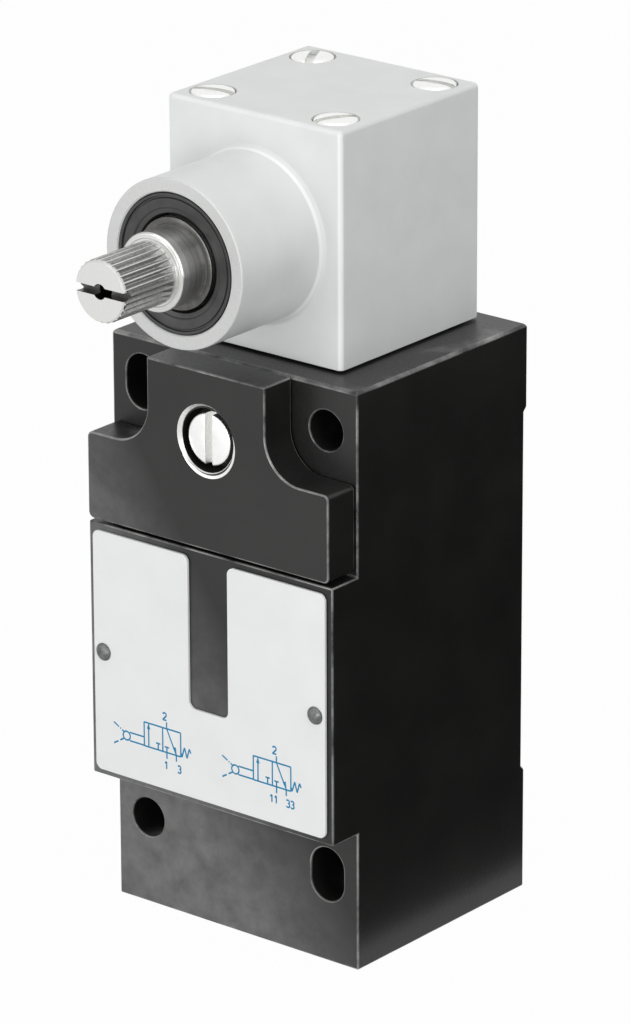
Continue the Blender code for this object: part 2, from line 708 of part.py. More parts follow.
def cover_outline():
    """Front view: a wide lower part and a narrower neck, with round cut-outs at the upper mounting holes."""
    half = BODY_WIDTH / 2 - COVER_SIDE_STEP
    shoulder = COVER_BOTTOM + SHOULDER_HEIGHT
    neck = HOLE_X - CUTOUT_RADIUS + FACE_GAP
    corner = COVER_CORNER
    right = arc((half - corner, COVER_BOTTOM + corner), corner, -90, 0, 2)
    right += arc((half - corner, shoulder - corner), corner, 0, 90, 2)
    right += arc((neck + CUTOUT_RADIUS, shoulder + CUTOUT_RADIUS), CUTOUT_RADIUS, 270, 180, 8)
    right += [(neck, BODY_HEIGHT - FACE_GAP)]
    return right + [(-x, z) for x, z in reversed(right)]


def cover_gasket_outline(margin):
    half = BODY_WIDTH / 2 - COVER_SIDE_STEP - margin
    bottom = COVER_BOTTOM + margin
    top = COVER_BOTTOM + SHOULDER_HEIGHT - margin
    return rounded_rectangle(-half, half, bottom, top, COVER_CORNER)


def make_front_cover(material):
    cover = place("front_cover", prism(cover_outline(), COVER_FRONT_Y, COVER_BACK_Y, "Y"), material)
    soften(cover, BODY_EDGE)
    bore = COUNTERBORE_DIAMETER / 2
    hole = COVER_SCREW_DIAMETER / 2 + SEAT_GAP
    floor = COVER_FRONT_Y + COVER_SCREW_SUNK + COVER_SCREW_HEAD_HEIGHT + FACE_GAP
    profile = [
        (0.0, COVER_FRONT_Y - COUNTERBORE_CHAMFER),
        (bore + 2 * COUNTERBORE_CHAMFER, COVER_FRONT_Y - COUNTERBORE_CHAMFER),
        (bore, COVER_FRONT_Y + COUNTERBORE_CHAMFER),
        (bore, floor),
        (hole, floor),
        (hole, COVER_BACK_Y + CUT_REACH),
        (0.0, COVER_BACK_Y + CUT_REACH),
    ]
    cut(cover, turned(profile, "Y", (0.0, COVER_SCREW_Z)), "counterbore")
    recess = cover_gasket_outline(COVER_GASKET_MARGIN - SEAT_GAP)
    recess_floor = COVER_BACK_Y - GASKET_THICKNESS
    cut(cover, prism(recess, recess_floor, COVER_BACK_Y + CUT_REACH, "Y"), "gasket_recess")
    return cover


def make_cover_gasket(material):
    back = FRONT_Y - FACE_GAP
    sheet = prism(cover_gasket_outline(COVER_GASKET_MARGIN), back - GASKET_THICKNESS, back, "Y")
    return place("cover_gasket", sheet, material)


def make_cover_screw(material):
    face = COVER_FRONT_Y + COVER_SCREW_SUNK
    head = (COVER_SCREW_HEAD_DIAMETER / 2, COVER_SCREW_HEAD_HEIGHT)
    shank = (COVER_SCREW_DIAMETER / 2, FRONT_Y + COVER_SCREW_GRIP - face - COVER_SCREW_HEAD_HEIGHT)
    centre = (0.0, COVER_SCREW_Z)
    return slotted_screw("cover_screw", "Y", centre, face, 1, head, shank, 90, MEDIUM, material)


# Plate


def plate_bounds():
    """Half the width, the bottom and the top of the plate on its block."""
    return BODY_WIDTH / 2 - PLATE_MARGIN, BLOCK_BOTTOM + PLATE_MARGIN, BLOCK_TOP - PLATE_MARGIN


def plate_middle():
    return (BLOCK_BOTTOM + BLOCK_TOP) / 2


def rivet_x():
    return BODY_WIDTH / 2 - RIVET_FROM_SIDE


def plate_outline():
    """A rounded plate with a notch from its top edge down the middle."""
    right, bottom, top = plate_bounds()
    corner = PLATE_CORNER
    notch = PLATE_NOTCH_WIDTH / 2
    floor = top - PLATE_NOTCH_DEPTH
    side = arc((right - corner, bottom + corner), corner, -90, 0, 4)
    side += arc((right - corner, top - corner), corner, 0, 90, 4)
    side += arc((notch + corner, top - corner), corner, 90, 180, 4)
    side += list(reversed(arc((notch - corner, floor + corner), corner, 270, 360, 4)))
    return side + [(-x, z) for x, z in reversed(side)]


def make_nameplate(material):
    back = BLOCK_FRONT_Y - FACE_GAP
    plate = place("nameplate", prism(plate_outline(), back - PLATE_THICKNESS, back, "Y"), material)
    for side in (-1, 1):
        centre = (side * rivet_x(), plate_middle())
        hole = rod(RIVET_DIAMETER / 2 + RUNNING_GAP, back - CUT_REACH, back + CUT_REACH, "Y", centre, SMALL)
        cut(plate, hole, "rivet_hole")
    return plate


def make_rivet(name, side, material):
    under = BLOCK_FRONT_Y - 2 * FACE_GAP - PLATE_THICKNESS
    face = under - RIVET_HEAD_HEIGHT
    tip = BLOCK_FRONT_Y + RIVET_LENGTH - SEAT_GAP
    head = RIVET_HEAD_DIAMETER / 2
    shank = RIVET_DIAMETER / 2
    profile = [
        (0.0, face),
        (head * RIVET_CROWN_SHARE, face + RIVET_HEAD_HEIGHT * RIVET_CROWN_SLOPE),
        (head * RIVET_SHOULDER_SHARE, face + RIVET_HEAD_HEIGHT / 2),
        (head, under),
        (shank, under),
        (shank, tip),
        (0.0, tip),
    ]
    return place(name, turned(profile, "Y", (side * rivet_x(), plate_middle()), COARSE), material)


# Head


def cut_shaft_line(head):
    """The bore through the boss, stepped for the seal and the front bush, and the rear bush's pocket."""
    seal = SEAL_RADIUS + FACE_GAP
    bush = FRONT_BUSH_RADIUS + SEAT_GAP
    shoulder = FRONT_BUSH_Y - SEAT_GAP
    profile = [
        (0.0, BOSS_TIP_Y - CUT_REACH),
        (seal, BOSS_TIP_Y - CUT_REACH),
        (seal, shoulder),
        (bush, shoulder),
        (bush, HEAD_Y),
        (0.0, HEAD_Y),
    ]
    cut(head, turned(profile, "Y", (0.0, AXIS_Z), FINE), "boss_bore")
    pocket_back = REAR_BUSH_BACK_Y + SEAT_GAP
    cut(head, rod(REAR_BUSH_RADIUS + SEAT_GAP, HEAD_Y, pocket_back, "Y", (0.0, AXIS_Z)), "rear_pocket")


def cut_head_screw_holes(head):
    """Through holes for the four long screws, counterbored at the top."""
    shank = HEAD_SCREW_DIAMETER / 2 + SEAT_GAP
    bore = HEAD_COUNTERBORE_DIAMETER / 2
    floor = HEAD_TOP + HEAD_SCREW_PROUD - HEAD_SCREW_HEAD_HEIGHT - FACE_GAP
    profile = [
        (0.0, HEAD_TOP + CUT_REACH),
        (bore, HEAD_TOP + CUT_REACH),
        (bore, floor),
        (shank, floor),
        (shank, HEAD_BOTTOM - CUT_REACH),
        (0.0, HEAD_BOTTOM - CUT_REACH),
    ]
    for corner in HEAD_CORNERS:
        cut(head, turned(profile, "Z", head_screw_centre(corner), COARSE), f"screw_hole_{corner}")


def head_square(margin):
    half = HEAD_SIDE / 2 - margin
    return rounded_rectangle(-half, half, HEAD_Y - half, HEAD_Y + half, HEAD_EDGE)


def boss_profile():
    """The boss as (radius, y): a softened rim, a plain barrel and a fillet that flares out into the head."""
    root = HEAD_FRONT_Y + BOSS_ROOT_SUNK
    inner = HEAD_FRONT_Y + BOSS_ROOT_DEPTH
    rim = [
        (0.0, BOSS_TIP_Y),
        (BOSS_RADIUS - BOSS_RIM_EDGE, BOSS_TIP_Y),
        (BOSS_RADIUS, BOSS_TIP_Y + BOSS_RIM_EDGE),
    ]
    flare = arc((BOSS_RADIUS + BOSS_FILLET, root - BOSS_FILLET), BOSS_FILLET, 180, 90, 4)
    return rim + flare + [(BOSS_RADIUS + BOSS_FILLET, inner), (0.0, inner)]


def make_head_housing(material):
    head = place("head_housing", prism(head_square(0.0), HEAD_BOTTOM, HEAD_TOP, "Z"), material)
    edge = soften(head, HEAD_TOP_EDGE, 2)
    edge.limit_method = "VGROUP"
    edge.vertex_group = top_edge_group(head)
    join(head, turned(boss_profile(), "Y", (0.0, AXIS_Z), FINE), "boss")
    ceiling = HEAD_BOTTOM + CAVITY_HEIGHT
    cut(head, rod(CAVITY_RADIUS, HEAD_BOTTOM - CUT_REACH, ceiling, "Z", (0.0, HEAD_Y)), "cavity")
    cut_shaft_line(head)
    cut_head_screw_holes(head)
    recess = head_square(HEAD_GASKET_MARGIN - SEAT_GAP)
    roof = BODY_HEIGHT + GASKET_THICKNESS + 2 * FACE_GAP
    cut(head, prism(recess, HEAD_BOTTOM - CUT_REACH, roof, "Z"), "gasket_recess")
    return head


def top_edge_group(head):
    """The corners of the top face, so that only the top edge is rounded over."""
    group = head.vertex_groups.new(name="top_edge")
    top = [vertex.index for vertex in head.data.vertices if vertex.co.z > HEAD_TOP - SAME_PLACE]
    group.add(top, 1.0, "REPLACE")
    return group.name


def make_head_gasket(material):
    bottom = BODY_HEIGHT + FACE_GAP
    top = bottom + GASKET_THICKNESS
    gasket = place("head_gasket", prism(head_square(HEAD_GASKET_MARGIN), bottom, top, "Z"), material)
    opening = CAVITY_RADIUS + HEAD_GASKET_CLEARANCE
    cut(gasket, rod(opening, bottom - CUT_REACH, top + CUT_REACH, "Z", (0.0, HEAD_Y)), "opening")
    radius = HEAD_SCREW_DIAMETER / 2 + SEAT_GAP
    for corner in HEAD_CORNERS:
        hole = rod(radius, bottom - CUT_REACH, top + CUT_REACH, "Z", head_screw_centre(corner), SMALL)
        cut(gasket, hole, f"screw_hole_{corner}")
    return gasket


def make_head_screw(corner, slot_angle, material):
    face = HEAD_TOP + HEAD_SCREW_PROUD
    head = (HEAD_SCREW_HEAD_DIAMETER / 2, HEAD_SCREW_HEAD_HEIGHT)
    shank = (HEAD_SCREW_DIAMETER / 2, face - HEAD_SCREW_HEAD_HEIGHT - BODY_HEIGHT + HEAD_SCREW_GRIP)
    centre = head_screw_centre(corner)
    name = f"head_screw_{corner}"
    return slotted_screw(name, "Z", centre, face, -1, head, shank, slot_angle, COARSE, material)


# Shaft line


def make_shaft_seal(material):
    """A radial lip seal: a flat face, a cone that runs in to the lip, and a hollow behind."""
    lip = JOURNAL_RADIUS + RUNNING_GAP
    mouth = JOURNAL_RADIUS + SEAL_MOUTH_GAP
    front = BOSS_TIP_Y + FACE_GAP
    back = front + SEAL_WIDTH
    profile = [
        (SEAL_RADIUS - BUSH_EDGE, front),
        (SEAL_RADIUS, front + BUSH_EDGE),
        (SEAL_RADIUS, back),
        (SEAL_RADIUS - SEAL_SHELL, back),
        (SEAL_RADIUS - SEAL_SHELL, front + SEAL_FACE),
        (lip + SEAL_SHELL, front + SEAL_FACE),
        (lip + SEAL_SHELL / 2, back - SEAL_FACE),
        (lip, back - SEAL_FACE - SEAL_SHELL / 2),
        (mouth - FACE_GAP, front + BUSH_EDGE),
        (mouth, front),
    ]
    return place("shaft_seal", turned(profile, "Y", (0.0, AXIS_Z), FINE), material)


def ring_profile(inner, outer, start, end, edge):
    """A plain bush or ring with its outer corners broken."""
    return [
        (inner, start),
        (outer - edge, start),
        (outer, start + edge),
        (outer, end - edge),
        (outer - edge, end),
        (inner, end),
    ]


def make_bush(name, shaft_radius, outer, start, end, material):
    profile = ring_profile(shaft_radius + RUNNING_GAP, outer, start, end, BUSH_EDGE)
    return place(name, turned(profile, "Y", (0.0, AXIS_Z)), material)


def serration_outline():
    """The toothed end, as V-shaped teeth between two radii."""
    crest = SERRATION_DIAMETER / 2
    root = crest - SERRATION_DEPTH
    points = []
    for i in range(2 * SERRATION_TEETH):
        radius = root if i % 2 else crest
        angle = math.pi * i / SERRATION_TEETH
        points.append((radius * math.cos(angle), AXIS_Z + radius * math.sin(angle)))
    return points


def shaft_profile():
    """The round part of the shaft as (radius, y), from the polished collar to the end in the rear bush."""
    collar = COLLAR_DIAMETER / 2
    groove = JOURNAL_RADIUS - RING_GROOVE_DEPTH
    groove_back = RING_GROOVE_Y + RING_WIDTH + 2 * RUNNING_GAP
    edge = SHAFT_EDGE
    return [
        (0.0, COLLAR_FRONT_Y),
        (collar - edge, COLLAR_FRONT_Y),
        (collar, COLLAR_FRONT_Y + edge),
        (collar, JOURNAL_FRONT_Y),
        (JOURNAL_RADIUS - edge, JOURNAL_FRONT_Y),
        (JOURNAL_RADIUS, JOURNAL_FRONT_Y + edge),
        (JOURNAL_RADIUS, RING_GROOVE_Y),
        (groove, RING_GROOVE_Y),
        (groove, groove_back),
        (JOURNAL_RADIUS, groove_back),
        (JOURNAL_RADIUS, JOURNAL_BACK_Y - edge),
        (JOURNAL_RADIUS - edge, JOURNAL_BACK_Y),
        (SPINDLE_RADIUS, JOURNAL_BACK_Y),
        (SPINDLE_RADIUS, SPINDLE_BACK_Y - edge),
        (SPINDLE_RADIUS - edge, SPINDLE_BACK_Y),
        (0.0, SPINDLE_BACK_Y),
    ]


def make_lever_shaft(material, parent):
    """Collar, journal and spindle in one turning, with the toothed end, its slot and the pin hole."""
    axis = (0.0, AXIS_Z)
    origin = (0.0, JOURNAL_FRONT_Y, AXIS_Z)
    shaft = place("lever_shaft", turned(shaft_profile(), "Y", axis, FINE), material, origin, parent)
    join(shaft, prism(serration_outline(), SHAFT_TIP_Y, COLLAR_FRONT_Y + CUT_REACH, "Y"), "serrations")
    crest = SERRATION_DIAMETER / 2
    chamfer = [
        (crest - SERRATION_DEPTH, SHAFT_TIP_Y - SHAFT_EDGE),
        (crest + CUT_REACH, SHAFT_TIP_Y - SHAFT_EDGE),
        (crest + CUT_REACH, SHAFT_TIP_Y - SHAFT_EDGE + SERRATION_DEPTH + CUT_REACH),
    ]
    cut(shaft, turned(chamfer, "Y", axis, FINE), "tip_chamfer")
    slot = bar_outline(axis, crest + CUT_REACH, SHAFT_SLOT_WIDTH / 2)
    cut(shaft, prism(slot, SHAFT_TIP_Y - CUT_REACH, SHAFT_TIP_Y + SHAFT_SLOT_DEPTH, "Y"), "slot")
    hole_radius = SHAFT_HOLE_DIAMETER / 2
    hole_end = SHAFT_TIP_Y + SHAFT_HOLE_DEPTH
    cut(shaft, rod(hole_radius, SHAFT_TIP_Y - CUT_REACH, hole_end, "Y", axis, SMALL), "centre_hole")
    low = AXIS_Z - SPINDLE_RADIUS - CUT_REACH
    high = AXIS_Z + SPINDLE_RADIUS + CUT_REACH
    cut(shaft, rod(PIN_DIAMETER / 2 + FACE_GAP, low, high, "Z", (0.0, PIN_Y), SMALL), "pin_hole")
    return shaft


def make_drive_pin(material, parent):
    """The cross pin: sunk in the spindle below, and standing out into the cam's crown above."""
    bottom = AXIS_Z - SPINDLE_RADIUS + SEAT_GAP
    top = AXIS_Z + CAM_HUB_RADIUS - SEAT_GAP
    radius = PIN_DIAMETER / 2
    profile = [
        (0.0, bottom),
        (radius - SHAFT_EDGE, bottom),
        (radius, bottom + SHAFT_EDGE),
        (radius, top - SHAFT_EDGE),
        (radius - SHAFT_EDGE, top),
        (0.0, top),
    ]
    pin = turned(profile, "Z", (0.0, PIN_Y), SMALL)
    return place("drive_pin", pin, material, (0.0, PIN_Y, AXIS_Z), parent)


def make_retaining_ring(material, parent):
    """An open ring in the journal's groove that stops the shaft from being pulled out."""
    inner = JOURNAL_RADIUS - RING_GROOVE_DEPTH + FACE_GAP
    half = math.degrees(RING_OPENING) / 2
    start = RING_GROOVE_Y + RUNNING_GAP
    outline = arc((0.0, AXIS_Z), inner + RING_BAND, half - 90, 270 - half, MEDIUM)
    outline += arc((0.0, AXIS_Z), inner, 270 - half, half - 90, MEDIUM)
    ring = prism(outline, start, start + RING_WIDTH, "Y")
    return place("retaining_ring", ring, material, (0.0, start, AXIS_Z), parent)


# Cam and its return spring


def cam_outline():
    """A hub circle and an involute nose: each degree of turn moves a flat follower by the same amount."""
    points = circle(CAM_HUB_RADIUS)
    nose_turn = CAM_TURN * CAM_NOSE_OVERRUN
    for i in range(COARSE):
        turn = nose_turn * i / (COARSE - 1)
        reach = CAM_BASE + CAM_LIFT_PER_RADIAN * turn
        normal = Vector((-math.sin(turn), -math.cos(turn)))
        tangent = Vector((-math.cos(turn), math.sin(turn)))
        points.append(tuple(reach * normal + CAM_LIFT_PER_RADIAN * tangent))
    order = convex_hull_2d([Vector(point) for point in points])
    return [(points[i][0], AXIS_Z + points[i][1]) for i in order]


def crown_gap_outline():
    """The sector cut from the crown: the pin drives one side of it and swings free towards the other."""
    side = math.degrees(math.asin((PIN_DIAMETER / 2 + CONTACT_GAP) / SPINDLE_RADIUS))
    start = 90 - math.degrees(CAM_TURN) - side
    return arc((0.0, AXIS_Z), CAM_HUB_RADIUS * 2, start, 90 + side, TINY) + [(0.0, AXIS_Z)]


def make_cam(material, parent):
    """The cam plate with its crown, the ring in front of it that the drive pin works in."""
    axis = (0.0, AXIS_Z)
    origin = (0.0, HEAD_Y, AXIS_Z)
    cam = place("cam", prism(cam_outline(), CAM_FRONT_Y, CAM_BACK_Y, "Y"), material, origin, parent)
    join(cam, rod(CAM_HUB_RADIUS, CROWN_FRONT_Y, CAM_FRONT_Y + CUT_REACH, "Y", axis), "crown")
    cut(cam, prism(crown_gap_outline(), CROWN_FRONT_Y - CUT_REACH, CAM_FRONT_Y - FACE_GAP, "Y"), "crown_gap")
    bore = SPINDLE_RADIUS + RUNNING_GAP
    cut(cam, rod(bore, CROWN_FRONT_Y - CUT_REACH, CAM_BACK_Y + CUT_REACH, "Y", axis), "bore")
    return cam


def make_return_spring(material):
    """A torsion spring round the spindle between the cam and the rear bush, with two upright legs."""
    radius = SPINDLE_RADIUS + RETURN_SPRING_LOOSENESS + RETURN_SPRING_WIRE / 2
    start = CAM_BACK_Y + CONTACT_GAP + RETURN_SPRING_WIRE / 2
    end = REAR_BUSH_Y - CONTACT_GAP - RETURN_SPRING_WIRE / 2
    turns = math.floor((end - start) / RETURN_SPRING_PITCH) - 0.5
    steps = round(turns * COIL_STEPS)
    path = [(radius, start, AXIS_Z + RETURN_SPRING_LEG)]
    for i in range(steps + 1):
        share = i / steps
        angle = -2 * math.pi * turns * share
        y = start + (end - start) * share
        path.append((radius * math.cos(angle), y, AXIS_Z + radius * math.sin(angle)))
    path.append((-radius, end, AXIS_Z + RETURN_SPRING_LEG))
    return coil("shaft_return_spring", path, RETURN_SPRING_WIRE / 2, material)


# Plunger


def make_plunger(material):
    disc = PLUNGER_DISC_DIAMETER / 2
    stem = PLUNGER_STEM_RADIUS
    bottom = SPOOL_TOP + CONTACT_GAP
    profile = [
        (0.0, PLUNGER_TOP),
        (disc - PLUNGER_EDGE, PLUNGER_TOP),
        (disc, PLUNGER_TOP - PLUNGER_EDGE),
        (disc, PLUNGER_DISC_BOTTOM),
        (stem, PLUNGER_DISC_BOTTOM),
        (stem, bottom + PLUNGER_EDGE),
        (stem - PLUNGER_EDGE, bottom),
        (0.0, bottom),
    ]
    return place("plunger", turned(profile, "Z", (0.0, HEAD_Y)), material, (0.0, HEAD_Y, PLUNGER_TOP))


def make_plunger_guide(material):
    """A flanged bush in the top of the bore, with pockets for the spring above and the seal below."""
    flange = CAVITY_RADIUS - GUIDE_FLANGE_INSET
    flange_bottom = GUIDE_TOP - GUIDE_FLANGE_HEIGHT
    stem = PLUNGER_STEM_RADIUS + RUNNING_GAP
    seal = PLUNGER_SEAL_RADIUS + FACE_GAP
    seal_roof = GUIDE_BOTTOM + PLUNGER_SEAL_HEIGHT + 2 * FACE_GAP
    profile = [
        (GUIDE_POCKET_RADIUS, GUIDE_TOP),
        (flange, GUIDE_TOP),
        (flange, flange_bottom),
        (SLEEVE_RADIUS, flange_bottom),
        (SLEEVE_RADIUS, GUIDE_BOTTOM + BUSH_EDGE),
        (SLEEVE_RADIUS - BUSH_EDGE, GUIDE_BOTTOM),
        (seal, GUIDE_BOTTOM),
        (seal, seal_roof),
        (stem, seal_roof),
        (stem, GUIDE_POCKET_FLOOR),
        (GUIDE_POCKET_RADIUS, GUIDE_POCKET_FLOOR),
    ]
    return place("plunger_guide", turned(profile, "Z", (0.0, HEAD_Y)), material)


def make_plunger_seal(material):
    inner = PLUNGER_STEM_RADIUS + RUNNING_GAP
    bottom = GUIDE_BOTTOM + FACE_GAP
    top = bottom + PLUNGER_SEAL_HEIGHT
    profile = ring_profile(inner, PLUNGER_SEAL_RADIUS, bottom, top, BUSH_EDGE)
    return place("plunger_seal", turned(profile, "Z", (0.0, HEAD_Y), COARSE), material)


def make_plunger_spring(material):
    bottom = GUIDE_POCKET_FLOOR + FACE_GAP
    top = PLUNGER_DISC_BOTTOM - FACE_GAP
    path = compression_path(PLUNGER_SPRING_RADIUS, PLUNGER_SPRING_WIRE, bottom, top, PLUNGER_SPRING_TURNS)
    return coil("plunger_spring", path, PLUNGER_SPRING_WIRE / 2, material)


# Spool valve


def make_sleeve(material):
    """The ported sleeve: grooves for four rings outside, and rows of small windows between them."""
    bore = SLEEVE_BORE / 2
    groove_floor = VALVE_BORE_RADIUS - O_RING_THICKNESS - 2 * SEAT_GAP
    half = O_RING_GROOVE_WIDTH / 2
    profile = [(bore, SLEEVE_TOP), (SLEEVE_RADIUS, SLEEVE_TOP)]
    for height in O_RING_HEIGHTS:
        profile += [(SLEEVE_RADIUS, height + half), (groove_floor, height + half)]
        profile += [(groove_floor, height - half), (SLEEVE_RADIUS, height - half)]
    profile += [(SLEEVE_RADIUS, SLEEVE_BOTTOM), (bore, SLEEVE_BOTTOM)]
    sleeve = place("spool_sleeve", turned(profile, "Z", (0.0, HEAD_Y), COARSE), material)
    radius = WINDOW_DIAMETER / 2
    reach = VALVE_BORE_RADIUS
    for level, height in enumerate(WINDOW_HEIGHTS):
        cut(sleeve, rod(radius, -reach, reach, "X", (HEAD_Y, height), TINY), f"windows_across_{level}")
        along_bore = rod(radius, HEAD_Y - reach, HEAD_Y + reach, "Y", (0.0, height), TINY)
        cut(sleeve, along_bore, f"windows_along_{level}")
    return sleeve


def make_o_ring(number, height, material):
    radius = O_RING_THICKNESS / 2
    profile = circle(radius, (VALVE_BORE_RADIUS - SEAT_GAP - radius, height), TINY - 2)
    return place(f"sleeve_o_ring_{number}", turned(profile, "Z", (0.0, HEAD_Y), COARSE), material)


def make_spool(material):
    """Two lands on a thin neck: the outlet is open to the exhaust at rest, and to the supply when pressed."""
    land = SLEEVE_BORE / 2 - RUNNING_GAP
    neck = SPOOL_NECK_DIAMETER / 2
    tail = SPOOL_TAIL_DIAMETER / 2
    half_window = WINDOW_DIAMETER / 2
    upper_land_bottom = WINDOW_HEIGHTS[0] + half_window + CONTACT_GAP
    lower_land_top = WINDOW_HEIGHTS[2] + half_window + LAND_OVERLAP
    tail_bottom = LOWER_LAND_BOTTOM - SPOOL_TAIL_LENGTH
    profile = [
        (0.0, SPOOL_TOP),
        (land - SHAFT_EDGE, SPOOL_TOP),
        (land, SPOOL_TOP - SHAFT_EDGE),
        (land, upper_land_bottom),
        (neck, upper_land_bottom),
        (neck, lower_land_top),
        (land, lower_land_top),
        (land, LOWER_LAND_BOTTOM),
        (tail, LOWER_LAND_BOTTOM),
        (tail, tail_bottom),
        (0.0, tail_bottom),
    ]
    return place("spool", turned(profile, "Z", (0.0, HEAD_Y), COARSE), material, (0.0, HEAD_Y, SPOOL_TOP))


def make_spool_spring(material):
    bottom = SPRING_POCKET_BOTTOM + FACE_GAP
    top = LOWER_LAND_BOTTOM - FACE_GAP
    path = compression_path(SPOOL_SPRING_RADIUS, SPOOL_SPRING_WIRE, bottom, top, SPOOL_SPRING_TURNS)
    return coil("spool_spring", path, SPOOL_SPRING_WIRE / 2, material)


def make_axis_empty(name):
    """An empty on the shaft axis that carries the pieces turning there."""
    empty = bpy.data.objects.new(name, None)
    bpy.context.scene.collection.objects.link(empty)
    empty.location = (0.0, HEAD_Y, AXIS_Z)
    return empty


def build():
    clear_scene()
    black_paint = make_material("black_satin_paint", (0.035, 0.036, 0.035), 0.45)
    grey_paint = make_material("light_grey_paint", (0.62, 0.63, 0.62), 0.4)
    white_plate = make_material("white_printed_aluminium", (0.78, 0.79, 0.8), 0.35)
    zinc = make_material("bright_zinc_plate", (0.72, 0.72, 0.7), 0.28, 1.0)
    steel = make_material("machined_steel", (0.62, 0.61, 0.59), 0.25, 1.0)
    spring_steel = make_material("spring_steel", (0.42, 0.42, 0.43), 0.3, 1.0)
    hard_steel = make_material("hardened_steel", (0.35, 0.35, 0.36), 0.3, 1.0)
    rubber = make_material("black_nitrile_rubber", (0.02, 0.02, 0.021), 0.6)
    bronze = make_material("sintered_bronze", (0.55, 0.36, 0.18), 0.5, 1.0)
    brass = make_material("turned_brass", (0.72, 0.53, 0.24), 0.3, 1.0)

    make_valve_body(black_paint)
    make_front_cover(black_paint)
    make_cover_gasket(rubber)
    make_cover_screw(zinc)
    make_nameplate(white_plate)
    make_rivet("nameplate_rivet_left", -1, zinc)
    make_rivet("nameplate_rivet_right", 1, zinc)

    make_head_housing(grey_paint)
    make_head_gasket(rubber)
    slot_angles = {"front_left": 12, "front_right": 62, "rear_left": 118, "rear_right": 8}
    for corner, slot_angle in slot_angles.items():
        make_head_screw(corner, slot_angle, zinc)

    make_shaft_seal(rubber)
    make_bush("front_bush", JOURNAL_RADIUS, FRONT_BUSH_RADIUS, FRONT_BUSH_Y, FRONT_BUSH_BACK_Y, bronze)
    make_bush("rear_bush", SPINDLE_RADIUS, REAR_BUSH_RADIUS, REAR_BUSH_Y, REAR_BUSH_BACK_Y, bronze)

    cam_axis = make_axis_empty("cam_axis")
    shaft_axis = make_axis_empty("shaft_axis")
    make_cam(hard_steel, cam_axis)
    make_lever_shaft(steel, shaft_axis)
    make_drive_pin(hard_steel, shaft_axis)
    make_retaining_ring(spring_steel, shaft_axis)
    make_return_spring(spring_steel)

    make_plunger(hard_steel)
    make_plunger_guide(brass)
    make_plunger_seal(rubber)
    make_plunger_spring(spring_steel)

    make_sleeve(brass)
    for number, height in enumerate(O_RING_HEIGHTS, start=1):
        make_o_ring(number, height, rubber)
    make_spool(steel)
    make_spool_spring(spring_steel)


build()
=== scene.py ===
# %% [markdown]
# # A pneumatic limit valve
#
# The real object is a small machine sensor. A lever on the toothed shaft turns a cam, the cam pushes a
# spool down, and the spool lets compressed air through. Its body is a black painted block, with a light
# grey head screwed on top.
#
# The moving model is ready before this script starts. It is loaded here as a fixed frame that says where
# every piece is and how it moves, and each new piece is modelled to the same place and rides on it.
# The CAD's box is measured at once, because the finished picture may not be larger than it.

# %% Load the frame
import math

import bmesh
import bpy
from mathutils import Matrix, Vector


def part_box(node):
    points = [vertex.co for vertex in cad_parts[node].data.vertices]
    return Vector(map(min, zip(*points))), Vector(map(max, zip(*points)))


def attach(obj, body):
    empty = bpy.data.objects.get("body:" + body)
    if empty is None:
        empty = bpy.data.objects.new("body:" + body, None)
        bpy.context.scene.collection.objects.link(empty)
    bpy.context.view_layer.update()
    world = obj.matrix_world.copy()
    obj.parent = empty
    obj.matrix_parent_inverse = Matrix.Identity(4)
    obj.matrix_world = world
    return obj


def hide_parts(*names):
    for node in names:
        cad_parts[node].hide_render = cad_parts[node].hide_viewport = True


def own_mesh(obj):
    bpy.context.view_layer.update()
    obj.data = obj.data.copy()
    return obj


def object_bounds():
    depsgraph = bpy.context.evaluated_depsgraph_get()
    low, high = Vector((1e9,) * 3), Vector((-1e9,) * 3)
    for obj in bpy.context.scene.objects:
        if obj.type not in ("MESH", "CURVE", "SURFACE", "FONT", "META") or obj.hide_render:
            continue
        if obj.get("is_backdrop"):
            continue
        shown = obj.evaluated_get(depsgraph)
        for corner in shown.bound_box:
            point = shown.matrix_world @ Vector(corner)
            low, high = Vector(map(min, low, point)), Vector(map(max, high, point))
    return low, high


MM = 0.001


def mm(x, y, z):
    """A place or a step given in millimetres, in Blender's metres."""
    return Vector((x, y, z)) * MM


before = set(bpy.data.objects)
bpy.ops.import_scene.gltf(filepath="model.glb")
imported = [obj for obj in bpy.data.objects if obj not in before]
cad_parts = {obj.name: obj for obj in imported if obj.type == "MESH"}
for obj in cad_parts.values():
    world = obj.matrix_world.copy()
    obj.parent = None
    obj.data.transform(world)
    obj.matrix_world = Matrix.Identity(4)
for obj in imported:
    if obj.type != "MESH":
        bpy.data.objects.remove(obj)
cad_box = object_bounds()
print("size in mm", [round(side / MM, 1) for side in cad_box[1] - cad_box[0]])

# %% [markdown]
# ## The camera
#
# The photograph was taken from the right and a little above, from some way off with a long lens, so that
# the edges going back stay nearly parallel. A camera could be turned by eye until it looks right. Here its
# direction, its distance and its lens were worked out from the corners of the block in the photograph,
# because a few degrees already change which faces show.

# %% Place the camera
CAMERA_AZIMUTH = math.radians(39.18)
CAMERA_HEIGHT = math.radians(20.21)
CAMERA_ROLL = math.radians(-0.226)
CAMERA_DISTANCE = 801.65
CAMERA_LENS = 220.2
AIM = mm(0, -2.35, 60)
AIM_SHIFT = (0.768, -6.130)

back = Vector(
    (
        math.sin(CAMERA_AZIMUTH) * math.cos(CAMERA_HEIGHT),
        -math.cos(CAMERA_AZIMUTH) * math.cos(CAMERA_HEIGHT),
        math.sin(CAMERA_HEIGHT),
    )
)
right = Vector((0, 0, 1)).cross(back).normalized()
right = Matrix.Rotation(CAMERA_ROLL, 3, back) @ right
up = back.cross(right)

